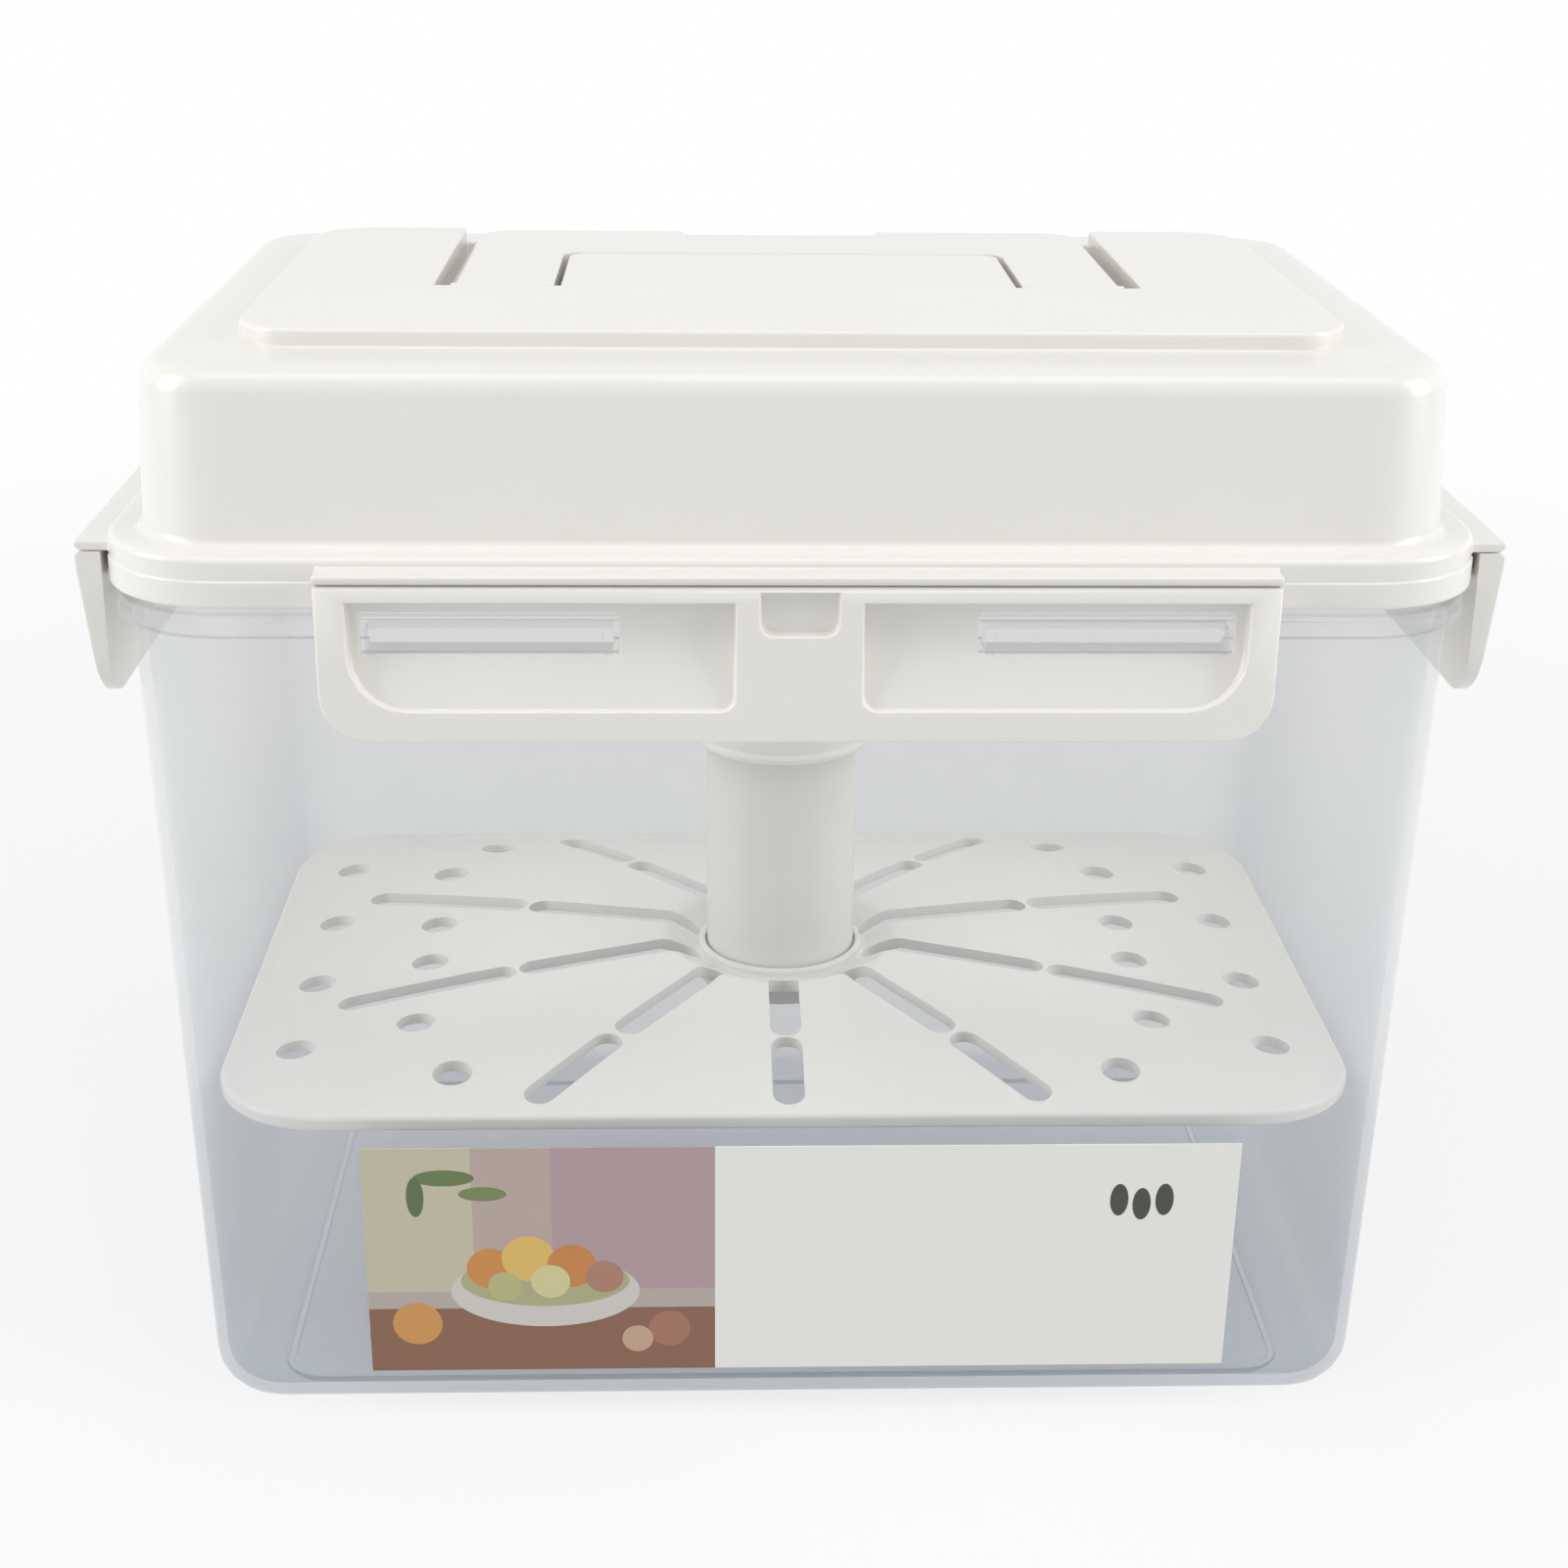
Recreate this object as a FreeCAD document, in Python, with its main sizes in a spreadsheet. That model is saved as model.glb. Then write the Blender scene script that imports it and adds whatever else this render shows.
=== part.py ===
import FreeCAD, Part
import math
import os
import Sketcher
from FreeCAD import Placement, Rotation, Vector

# Fermentation container: a clear tub, a white hooded lid with four snap latches and a folding handle,
# and a sprung press plate on a telescoping column that hangs from the lid.
# The origin is the centre of the base. +X is right, -Y is the front with the label, +Z is up.

# Driving sizes, in millimetres and degrees
SIZES = (
    # Tub, measured over the top edge
    ("tub_length", 227.0), ("tub_width", 151.8), ("tub_height", 166.0), ("tub_corner", 18.0),
    ("tub_draft", 1.38), ("tub_wall", 2.0), ("tub_floor", 2.4), ("base_round", 8.0),
    ("foot_height", 1.5), ("foot_width", 2.0), ("foot_inset", 12.3),
    # Rim below the top edge, and the lugs that the latches snap over
    ("rim_drop", 8.9), ("rim_height", 3.9), ("rim_reach", 2.1), ("rim_step", 0.4),
    ("rim_step_height", 1.4), ("lug_height", 4.4), ("lug_drop", 1.1), ("lug_bevel", 0.8),
    ("front_lug_length", 40.3), ("front_lug_place", 50.65), ("front_lug_reach", 4.6),
    ("side_lug_length", 27.0), ("side_lug_place", 34.0), ("side_lug_reach", 4.0),
    # Lid: flange and skirt round the tub's edge, hood above them, raised panel on the hood
    ("gasket_height", 2.0), ("gasket_play", 0.6), ("skirt_reach", 3.2), ("skirt_wall", 1.8),
    ("skirt_overlap", 3.4), ("ledge_step", 0.3), ("ledge_rise", 1.1), ("flange_rise", 5.2),
    ("flange_corner", 21.5), ("flange_bevel", 1.5), ("plug_play", 1.0), ("lid_wall", 2.2),
    ("hood_inset", 5.8), ("hood_height", 29.5), ("hood_draft", 3.0), ("hood_corner", 16.0),
    ("hood_round", 4.5), ("hood_foot_bevel", 1.5), ("panel_end_inset", 15.9),
    ("panel_side_inset", 18.3), ("panel_corner", 11.0), ("panel_rise", 3.2), ("panel_bevel", 0.6),
    # Latches, hung on film hinges from strips along the flange
    ("hinge_rise", 1.75), ("hinge_gap", 0.15), ("hinge_bevel", 0.7), ("strip_height", 1.7),
    ("latch_reach", 5.0), ("latch_thick", 4.3), ("latch_height", 26.7), ("latch_corner", 8.0),
    ("front_latch_length", 157.4), ("side_latch_length", 126.0), ("side_latch_lean", 2.4),
    ("pocket_depth", 3.1), ("pocket_top_bar", 2.7), ("pocket_low_bar", 5.5),
    ("pocket_end_bar", 5.0), ("pocket_mid_bar", 21.0), ("pocket_corner", 9.5),
    ("pocket_inner_corner", 2.5), ("slope_height", 10.5), ("slope_depth", 2.3),
    ("slot_play", 1.0), ("slot_headroom", 2.2), ("slot_seat", 0.2), ("notch_width", 12.8),
    ("notch_height", 7.3), ("notch_drop", 0.95), ("notch_depth", 2.0), ("notch_corner", 2.2),
    ("core_margin", 2.0),
    # Folding handle in its recess
    ("handle_length", 124.0), ("handle_thick", 5.0), ("arm_width", 18.9), ("grip_width", 28.9),
    ("grip_corner", 8.0), ("grip_inner_corner", 3.4), ("grip_bevel", 1.1), ("handle_back_play", 1.2),
    ("pivot_place", 10.1), ("pin_diameter", 3.0), ("pin_length", 6.0), ("pin_play", 0.06),
    ("pin_boss", 9.0), ("recess_side_play", 3.0), ("recess_play", 1.3), ("recess_end_play", 0.6),
    ("handle_sink", 0.2), ("handle_under_play", 0.5), ("scoop_length", 40.0),
    ("scoop_width", 9.5), ("scoop_depth", 1.2), ("scoop_corner", 6.0),
    # Telescoping column
    ("sleeve_diameter", 34.9), ("sleeve_wall", 1.55), ("sleeve_length", 90.1), ("lip_reach", 0.5),
    ("lip_height", 1.6), ("guide_length", 18.4), ("slide_play", 0.1), ("seat_play", 0.05),
    ("spigot_height", 8.0), ("spigot_wall", 2.0), ("tube_diameter", 30.3), ("tube_wall", 1.6),
    ("tube_length", 70.3), ("stop_reach", 0.45), ("stop_height", 1.5), ("spring_diameter", 24.0),
    ("wire_diameter", 1.6), ("spring_turns", 9.0),
    # Press plate
    ("plate_end_play", 1.43), ("plate_side_play", 3.83), ("plate_corner", 21.0), ("plate_edge", 3.0),
    ("plate_bevel", 0.8), ("plate_wall", 2.2), ("band_width", 3.6), ("dome_rise", 6.3), ("dome_root", 1.0),
    ("hub_rise", 1.0), ("hub_floor", 2.0), ("ring_reach", 1.75), ("ring_height", 4.8),
    ("ring_mouth", 0.35), ("ring_mouth_depth", 1.8), ("dish_radius", 25.0), ("dish_depth", 3.8),
    ("hole_diameter", 7.5), ("slot_width", 6.0),
    # How far a cut reaches past what it cuts
    ("cut_margin", 1.0),
    # Label on the front wall
    ("label_length", 160.8), ("label_height", 48.3), ("label_low", 10.7), ("label_shift", 2.2),
    ("label_thick", 0.2),
)


class Size:
    """A number together with the sheet formula that it comes from."""

    def __init__(self, value, formula):
        self.value, self.formula = value, formula

    def __add__(self, other):
        return Size(self.value + sized(other).value, f"({self.formula} + {sized(other).formula})")

    def __radd__(self, other):
        return sized(other) + self

    def __sub__(self, other):
        return Size(self.value - sized(other).value, f"({self.formula} - {sized(other).formula})")

    def __rsub__(self, other):
        return sized(other) - self

    def __mul__(self, other):
        return Size(self.value * sized(other).value, f"({self.formula} * {sized(other).formula})")

    def __rmul__(self, other):
        return sized(other) * self

    def __truediv__(self, other):
        return Size(self.value / sized(other).value, f"({self.formula} / {sized(other).formula})")

    def __neg__(self):
        return Size(-self.value, f"(-{self.formula})")


def sized(number):
    """Give a plain number the same form as a size from the sheet."""
    return number if isinstance(number, Size) else Size(float(number), f"{float(number):.9g}")


def tangent(angle):
    return Size(math.tan(math.radians(angle.value)), f"tan({angle.formula})")


class Sizes:
    """The sheet's cells by name."""

    def __init__(self, sheet):
        for row, (name, number) in enumerate(SIZES, 1):
            sheet.set(f"A{row}", name)
            sheet.set(f"B{row}", str(number))
            sheet.setAlias(f"B{row}", name)
            setattr(self, name, Size(number, f"Sizes.{name}"))


document = FreeCAD.newDocument("fermentation_container")
sheet = document.addObject("Spreadsheet::Sheet", "Sizes")
s = Sizes(sheet)
document.recompute()


# Sketch and feature helpers

def new_body(name):
    body = document.addObject("PartDesign::Body", name)
    body.Label = name
    return body


def bind(thing, prop, size):
    thing.setExpression(prop, sized(size).formula)


def new_sketch(body, name, role, offset=0):
    """Start a sketch on one of the body's own planes, moved along that plane's normal."""
    sketch = body.newObject("Sketcher::SketchObject", name)
    plane = next(face for face in body.Origin.OriginFeatures if face.Role == role)
    sketch.AttachmentSupport = (plane, [""])
    sketch.MapMode = "FlatFace"
    bind(sketch, "AttachmentOffset.Base.z", offset)
    return sketch


def fix(sketch, kind, *where):
    """Add one driving dimension, bound to its size."""
    *items, size = where
    number = sketch.addConstraint(Sketcher.Constraint(kind, *items, sized(size).value))
    sketch.setExpression(f"Constraints[{number}]", sized(size).formula)


def place_point(sketch, line, end, point):
    fix(sketch, "DistanceX", -1, 1, line, end, point[0])
    fix(sketch, "DistanceY", -1, 1, line, end, point[1])


def outline(sketch, corners):
    """Draw a closed outline of level and upright lines; each corner is x, y and its radius."""
    count = len(corners)
    spots = [Vector(sized(x).value, sized(y).value, 0) for x, y, _ in corners]
    radii = [sized(radius) for _, _, radius in corners]
    starts, ends, lines, arcs = [], [], [], {}
    for index, spot in enumerate(spots):
        back = (spots[index - 1] - spot).normalize() * radii[index].value
        ahead = (spots[(index + 1) % count] - spot).normalize() * radii[index].value
        starts.append(spot + ahead)
        ends.append(spot + back)
    for index in range(count):
        line = Part.LineSegment(starts[index], ends[(index + 1) % count])
        lines.append(sketch.addGeometry(line, False))
    for index, spot in enumerate(spots):
        if radii[index].value > 0:
            arcs[index] = add_corner(sketch, ends[index], spot, starts[index])
    for index, line in enumerate(lines):
        level = abs(spots[index].y - spots[(index + 1) % count].y) < 1e-6
        sketch.addConstraint(Sketcher.Constraint("Horizontal" if level else "Vertical", line))
        if level:
            fix(sketch, "DistanceY", -1, 1, line, 1, corners[index][1])
        else:
            fix(sketch, "DistanceX", -1, 1, line, 1, corners[index][0])
        if index in arcs:
            join_corner(sketch, lines[index - 1], arcs[index], line, radii[index])
        else:
            sketch.addConstraint(Sketcher.Constraint("Coincident", lines[index - 1], 2, line, 1))


def add_corner(sketch, begin, spot, end):
    """Add the quarter circle that rounds one corner, and tell which way it runs."""
    centre = begin + end - spot
    circle = Part.Circle(centre, Vector(0, 0, 1), (begin - centre).Length)
    turn = (spot - begin).cross(end - spot).z
    first, last = (begin, end) if turn > 0 else (end, begin)
    angles = [math.atan2(point.y - centre.y, point.x - centre.x) for point in (first, last)]
    return sketch.addGeometry(Part.ArcOfCircle(circle, *angles), False), turn > 0


def join_corner(sketch, before, arc, after, radius):
    number, forward = arc
    near, far = (1, 2) if forward else (2, 1)
    sketch.addConstraint(Sketcher.Constraint("Tangent", before, 2, number, near))
    sketch.addConstraint(Sketcher.Constraint("Tangent", number, far, after, 1))
    fix(sketch, "Radius", number, radius)


def rounded_plan(sketch, half_x, half_y, radius):
    """Draw a rounded rectangle centred on the origin."""
    box_plan(sketch, -half_x, half_x, -half_y, half_y, radius)


def box_plan(sketch, left, right, low, high, radius=0):
    """Draw a rectangle by its four sides."""
    outline(sketch, ((left, low, radius), (right, low, radius),
                     (right, high, radius), (left, high, radius)))


def polygon(sketch, points):
    """Draw a closed shape through its corner points."""
    lines = []
    for index, point in enumerate(points):
        ends = [Vector(sized(x).value, sized(y).value, 0)
                for x, y in (point, points[(index + 1) % len(points)])]
        lines.append(sketch.addGeometry(Part.LineSegment(*ends), False))
    for index, line in enumerate(lines):
        sketch.addConstraint(Sketcher.Constraint("Coincident", lines[index - 1], 2, line, 1))
        place_point(sketch, line, 1, points[index])


def circle(sketch, x, y, radius):
    ring = Part.Circle(Vector(sized(x).value, sized(y).value, 0), Vector(0, 0, 1), sized(radius).value)
    number = sketch.addGeometry(ring, False)
    place_point(sketch, number, 3, (x, y))
    fix(sketch, "Radius", number, radius)


def pad(sketch, length, taper=0, back=False):
    """Raise a sketch along its plane's normal, or against it."""
    return extrude("PartDesign::Pad", sketch, length, taper, back)


def pocket(sketch, length, taper=0, ahead=False):
    """Cut a sketch against its plane's normal, or along it."""
    return extrude("PartDesign::Pocket", sketch, length, taper, ahead)


def extrude(kind, sketch, length, taper, turned):
    body = sketch.getParentGeoFeatureGroup()
    feature = body.newObject(kind, f"{sketch.Name}_{kind.split('::')[1].lower()}")
    feature.Profile = sketch
    feature.Reversed = turned
    bind(feature, "Length", length)
    bind(feature, "TaperAngle", taper)
    document.recompute()
    return feature


def revolve(sketch, kind="PartDesign::Revolution"):
    """Turn an upright profile a full turn round the vertical axis."""
    body = sketch.getParentGeoFeatureGroup()
    feature = body.newObject(kind, f"{sketch.Name}_turned")
    feature.Profile = sketch
    feature.ReferenceAxis = (sketch, ["V_Axis"])
    feature.Angle = 360
    document.recompute()
    return feature


def dress(kind, feature, prop, size, wanted):
    """Round or bevel those edges of a feature whose boxes pass the test."""
    body = feature.getParentGeoFeatureGroup()
    names = [f"Edge{number}" for number, edge in enumerate(feature.Shape.Edges, 1)
             if wanted(edge.BoundBox)]
    result = body.newObject(kind, f"{feature.Name}_{kind.split('::')[1].lower()}")
    result.Base = (feature, names)
    bind(result, prop, size)
    document.recompute()
    return result


def fillet(feature, radius, wanted):
    return dress("PartDesign::Fillet", feature, "Radius", radius, wanted)


def chamfer(feature, size, wanted):
    return dress("PartDesign::Chamfer", feature, "Size", size, wanted)


def carve(body, tool):
    """Cut one body with another."""
    cut = body.newObject("PartDesign::Boolean", f"{tool.Name}_cut")
    cut.Type = "Cut"
    cut.setObjects([tool])
    document.recompute()
    return cut


def near(one, other):
    return abs(one - sized(other).value) < 0.01


def level_at(height):
    """Pick the edges that lie flat at one height."""
    return lambda box: near(box.ZMin, height) and near(box.ZMax, height)


# Places that several pieces share

def tub_half(half, height):
    """Half the tub's outside at a height; its walls lean in towards the base."""
    return half - (s.tub_height - height) * DRAFT


TUB_X, TUB_Y = s.tub_length / 2, s.tub_width / 2
DRAFT = tangent(s.tub_draft)
RIM_LOW = s.tub_height - s.rim_drop
RIM_X, RIM_Y = TUB_X + s.rim_reach, TUB_Y + s.rim_reach
LUG_LOW = RIM_LOW - s.lug_drop
LEDGE = s.tub_height + s.ledge_rise
SKIRT_LOW = s.tub_height - s.skirt_overlap
SKIRT_X, SKIRT_Y = TUB_X + s.skirt_reach, TUB_Y + s.skirt_reach
FLANGE_X, FLANGE_Y = SKIRT_X - s.ledge_step, SKIRT_Y - s.ledge_step
FLANGE_TOP = s.tub_height + s.flange_rise
HOOD_X, HOOD_Y = FLANGE_X - s.hood_inset, FLANGE_Y - s.hood_inset
HOOD_TOP = FLANGE_TOP + s.hood_height
HOOD_CEILING = HOOD_TOP - s.lid_wall
PANEL_X, PANEL_Y = HOOD_X - s.panel_end_inset, HOOD_Y - s.panel_side_inset
PANEL_TOP = HOOD_TOP + s.panel_rise
PANEL_CEILING = PANEL_TOP - s.lid_wall
LATCH_TOP = s.tub_height + s.hinge_rise
STRIP_LOW = LATCH_TOP + s.hinge_gap
HANDLE_X = s.handle_length / 2
HANDLE_INNER = HANDLE_X - s.arm_width
HANDLE_TOP = PANEL_TOP - s.handle_sink
HANDLE_LOW = HANDLE_TOP - s.handle_thick
PIVOT_HEIGHT = HANDLE_TOP - s.handle_thick / 2
GRIP_BACK = PANEL_Y - s.handle_back_play
GRIP_FRONT = GRIP_BACK - s.grip_width
ARM_END = -(s.pivot_place + s.handle_thick / 2)
RECESS_X = HANDLE_X + s.recess_side_play
RECESS_FRONT = ARM_END - s.recess_end_play
RECESS_FLOOR = HANDLE_LOW - s.handle_under_play
ISLAND_X, ISLAND_BACK = HANDLE_INNER - s.recess_play, GRIP_FRONT - s.recess_play
PIN_RADIUS = s.pin_diameter / 2
SLEEVE_RADIUS = s.sleeve_diameter / 2
SLEEVE_BORE = SLEEVE_RADIUS - s.sleeve_wall
SLEEVE_LOW = PANEL_CEILING - s.sleeve_length
GUIDE_TOP = SLEEVE_LOW + s.guide_length
TUBE_RADIUS = s.tube_diameter / 2
GUIDE_BORE = TUBE_RADIUS + s.slide_play
TUBE_LOW = GUIDE_TOP + s.stop_height - s.tube_length
BAND_TOP = TUBE_LOW + s.hub_rise
PLATE_LOW = BAND_TOP - s.plate_edge
PLATE_X = tub_half(TUB_X, PLATE_LOW) - s.tub_wall - s.plate_end_play
PLATE_Y = tub_half(TUB_Y, PLATE_LOW) - s.tub_wall - s.plate_side_play
FIELD_X, FIELD_Y = PLATE_X - s.band_width, PLATE_Y - s.band_width
DOME_TOP = BAND_TOP + s.dome_rise


def ring_plan(sketch, outer, inner):
    """Draw a rounded frame; each side is half length, half width and corner radius."""
    rounded_plan(sketch, *outer)
    rounded_plan(sketch, *inner)


# Pieces

def build_tub():
    """Clear tub: drafted walls, rounded base on a foot ridge, rim and latch lugs, moulded as one."""
    body = new_body("tub")
    walls = new_sketch(body, "tub_top_edge", "XY_Plane", s.tub_height)
    rounded_plan(walls, TUB_X, TUB_Y, s.tub_corner)
    solid = pad(walls, s.tub_height - s.foot_height, -s.tub_draft, back=True)
    fillet(solid, s.base_round, level_at(s.foot_height))
    foot_x, foot_y = (tub_half(half, s.foot_height) - s.foot_inset for half in (TUB_X, TUB_Y))
    foot = new_sketch(body, "foot_ridge", "XY_Plane")
    ring_plan(foot, *((foot_x + side, foot_y + side, s.base_round + side)
                      for side in (s.foot_width / 2, -s.foot_width / 2)))
    pad(foot, s.foot_height + s.tub_floor / 2)
    for name, low, high, reach in (
            ("rim", RIM_LOW, RIM_LOW + s.rim_height - s.rim_step_height, s.rim_reach),
            ("rim_top", RIM_LOW + s.rim_height - s.rim_step_height, RIM_LOW + s.rim_height,
             s.rim_reach - s.rim_step)):
        rim = new_sketch(body, name, "XY_Plane", low)
        rounded_plan(rim, TUB_X + reach, TUB_Y + reach, s.tub_corner + reach)
        pad(rim, high - low)
    for side in (-1, 1):
        for end in (-1, 1):
            add_lug(body, "YZ_Plane", side, end, RIM_Y, s.front_lug_reach,
                    s.front_lug_place, s.front_lug_length)
            add_lug(body, "XZ_Plane", side, end, RIM_X, s.side_lug_reach,
                    s.side_lug_place, s.side_lug_length)
    carve(body, tub_inside())
    return body


def tub_inside():
    """The space inside the tub, as a body of its own that the walls are cut with."""
    space = new_body("tub_space")
    inside = new_sketch(space, "tub_inside", "XY_Plane", s.tub_height)
    rounded_plan(inside, TUB_X - s.tub_wall, TUB_Y - s.tub_wall, s.tub_corner - s.tub_wall)
    floor = s.foot_height + s.tub_floor
    solid = pad(inside, s.tub_height - floor, -s.tub_draft, back=True)
    chamfer(solid, s.base_round - s.tub_wall - s.tub_floor, level_at(floor))
    return space


def add_lug(body, role, side, end, rim, reach, place, length):
    """Add one lug: a bevelled bar along the rim that a latch slot drops over."""
    root, tip, top = rim - s.rim_reach - s.tub_wall / 2, rim + reach, LUG_LOW + s.lug_height
    middle = end * place if role == "YZ_Plane" else -end * place
    sketch = new_sketch(body, "lug", role, middle - length / 2)
    polygon(sketch, ((side * root, LUG_LOW), (side * (tip - s.lug_bevel), LUG_LOW),
                     (side * tip, LUG_LOW + s.lug_bevel), (side * tip, top - 2 * s.lug_bevel),
                     (side * (tip - s.lug_bevel), top), (side * root, top)))
    pad(sketch, length)


def build_lid():
    """White lid: flange and skirt, drafted hood, raised panel with the handle's recess."""
    body = new_body("lid")
    flange = new_sketch(body, "flange", "XY_Plane", LEDGE)
    rounded_plan(flange, FLANGE_X, FLANGE_Y, s.flange_corner)
    chamfer(pad(flange, FLANGE_TOP - LEDGE), s.flange_bevel, level_at(FLANGE_TOP))
    skirt = new_sketch(body, "skirt", "XY_Plane", SKIRT_LOW)
    rounded_plan(skirt, SKIRT_X, SKIRT_Y, s.flange_corner + s.ledge_step)
    pad(skirt, LEDGE - SKIRT_LOW)
    for side in (-1, 1):
        add_strip(body, "YZ_Plane", side, FLANGE_Y, s.front_latch_length)
        add_strip(body, "XZ_Plane", side, FLANGE_X, s.side_latch_length)
    hood = new_sketch(body, "hood", "XY_Plane", FLANGE_TOP)
    rounded_plan(hood, HOOD_X, HOOD_Y, s.hood_corner)
    raised = pad(hood, s.hood_height, -s.hood_draft)
    raised = fillet(raised, s.hood_round, level_at(HOOD_TOP))
    foot_reach = HOOD_X.value + 0.01
    chamfer(raised, s.hood_foot_bevel,
            lambda box: level_at(FLANGE_TOP)(box) and box.XMax < foot_reach and box.XMin > -foot_reach)
    panel = new_sketch(body, "panel", "XY_Plane", HOOD_TOP)
    rounded_plan(panel, PANEL_X, PANEL_Y, s.panel_corner)
    chamfer(pad(panel, s.panel_rise), s.panel_bevel, level_at(PANEL_TOP))
    hollow_lid(body)
    cut_handle_recess(body)
    spigot = new_sketch(body, "spigot", "XY_Plane", PANEL_CEILING - s.spigot_height)
    outer = SLEEVE_BORE - s.seat_play
    circle(spigot, 0, 0, outer)
    circle(spigot, 0, 0, outer - s.spigot_wall)
    pad(spigot, s.spigot_height + s.lid_wall / 2)
    return body


def add_strip(body, role, side, flange, length):
    """Add the strip along the flange that a latch hangs from, bevelled towards its film hinge."""
    root, tip, top = flange - s.hood_inset / 2, flange + s.latch_reach, STRIP_LOW + s.strip_height
    sketch = new_sketch(body, "hinge_strip", role, -length / 2)
    polygon(sketch, ((side * root, STRIP_LOW), (side * (tip - s.hinge_bevel), STRIP_LOW),
                     (side * tip, STRIP_LOW + s.hinge_bevel), (side * tip, top), (side * root, top)))
    pad(sketch, length)


def hollow_lid(body):
    """Cut the hood's inside, the panel's inside and the channel that holds the gasket."""
    wall = s.lid_wall
    plug = new_sketch(body, "plug_inside", "XY_Plane", SKIRT_LOW)
    rounded_plan(plug, HOOD_X - wall, HOOD_Y - wall, s.hood_corner - wall)
    pocket(plug, FLANGE_TOP - SKIRT_LOW, ahead=True)
    inside = new_sketch(body, "hood_inside", "XY_Plane", FLANGE_TOP)
    rounded_plan(inside, HOOD_X - wall, HOOD_Y - wall, s.hood_corner - wall)
    hollow = pocket(inside, s.hood_height - wall, -s.hood_draft, ahead=True)
    chamfer(hollow, s.hood_round - wall, level_at(HOOD_CEILING))
    channel = new_sketch(body, "gasket_channel", "XY_Plane", SKIRT_LOW)
    inner = s.tub_wall + s.plug_play
    ring_plan(channel, (SKIRT_X - s.skirt_wall, SKIRT_Y - s.skirt_wall,
                        s.flange_corner + s.ledge_step - s.skirt_wall),
              (TUB_X - inner, TUB_Y - inner, s.tub_corner - inner))
    pocket(channel, s.tub_height + s.gasket_height - SKIRT_LOW, ahead=True)
    tray_x, tray_front = RECESS_X + wall, RECESS_FRONT - wall
    tongue_x, tongue_back = ISLAND_X - wall, ISLAND_BACK - wall
    right, high = PANEL_X - wall, PANEL_Y - wall
    under = new_sketch(body, "panel_inside", "XY_Plane", HOOD_CEILING)
    outline(under, ((-right, -high, 0), (right, -high, 0), (right, high, 0), (tray_x, high, 0),
                    (tray_x, tray_front, 0), (tongue_x, tray_front, 0), (tongue_x, tongue_back, 0),
                    (-tongue_x, tongue_back, 0), (-tongue_x, tray_front, 0),
                    (-tray_x, tray_front, 0), (-tray_x, high, 0), (-right, high, 0)))
    pocket(under, PANEL_CEILING - HOOD_CEILING, ahead=True)
    tray = new_sketch(body, "recess_tray", "XY_Plane", RECESS_FLOOR - wall)
    outline(tray, ((-tray_x, tray_front, 0), (-tongue_x, tray_front, 0),
                   (-tongue_x, tongue_back, 0), (tongue_x, tongue_back, 0),
                   (tongue_x, tray_front, 0), (tray_x, tray_front, 0),
                   (tray_x, PANEL_Y + wall, 0), (-tray_x, PANEL_Y + wall, 0)))
    pad(tray, HOOD_CEILING + wall / 2 - RECESS_FLOOR + wall)


def cut_handle_recess(body):
    """Cut the recess that the handle lies in, with bossed side walls for its pins."""
    floor = RECESS_FLOOR - s.lid_wall
    half = s.pin_boss / 2
    for side in (-1, 1):
        boss = new_sketch(body, "pin_boss", "XY_Plane", floor)
        box_plan(boss, *sorted((side * RECESS_X, side * (RECESS_X + s.pin_length)),
                               key=lambda size: size.value),
                 -s.pivot_place - half, -s.pivot_place + half)
        pad(boss, PANEL_CEILING + s.lid_wall / 2 - floor)
    recess = new_sketch(body, "handle_recess", "XY_Plane", PANEL_TOP)
    outline(recess, ((-RECESS_X, RECESS_FRONT, s.recess_play), (-ISLAND_X, RECESS_FRONT, 0),
                     (-ISLAND_X, ISLAND_BACK, s.grip_inner_corner),
                     (ISLAND_X, ISLAND_BACK, s.grip_inner_corner), (ISLAND_X, RECESS_FRONT, 0),
                     (RECESS_X, RECESS_FRONT, s.recess_play), (RECESS_X, PANEL_Y, 0),
                     (-RECESS_X, PANEL_Y, 0)))
    pocket(recess, PANEL_TOP - RECESS_FLOOR)
    reach = RECESS_X + s.pin_length - s.lid_wall / 2
    holes = new_sketch(body, "pin_holes", "YZ_Plane", -reach)
    circle(holes, -s.pivot_place, PIVOT_HEIGHT, PIN_RADIUS + s.pin_play)
    pocket(holes, reach * 2, ahead=True)


def build_gasket():
    """Soft ring in the lid's channel; the tub's top edge presses on it."""
    body = new_body("gasket")
    plan = new_sketch(body, "gasket_plan", "XY_Plane", s.tub_height)
    outer, inner = s.skirt_reach - s.skirt_wall - s.gasket_play, s.tub_wall + s.plug_play - s.gasket_play
    ring_plan(plan, (TUB_X + outer, TUB_Y + outer,
                     s.flange_corner + s.ledge_step - s.skirt_wall - s.gasket_play),
              (TUB_X - inner, TUB_Y - inner, s.tub_corner - inner))
    pad(plan, s.gasket_height)
    return body


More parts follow.
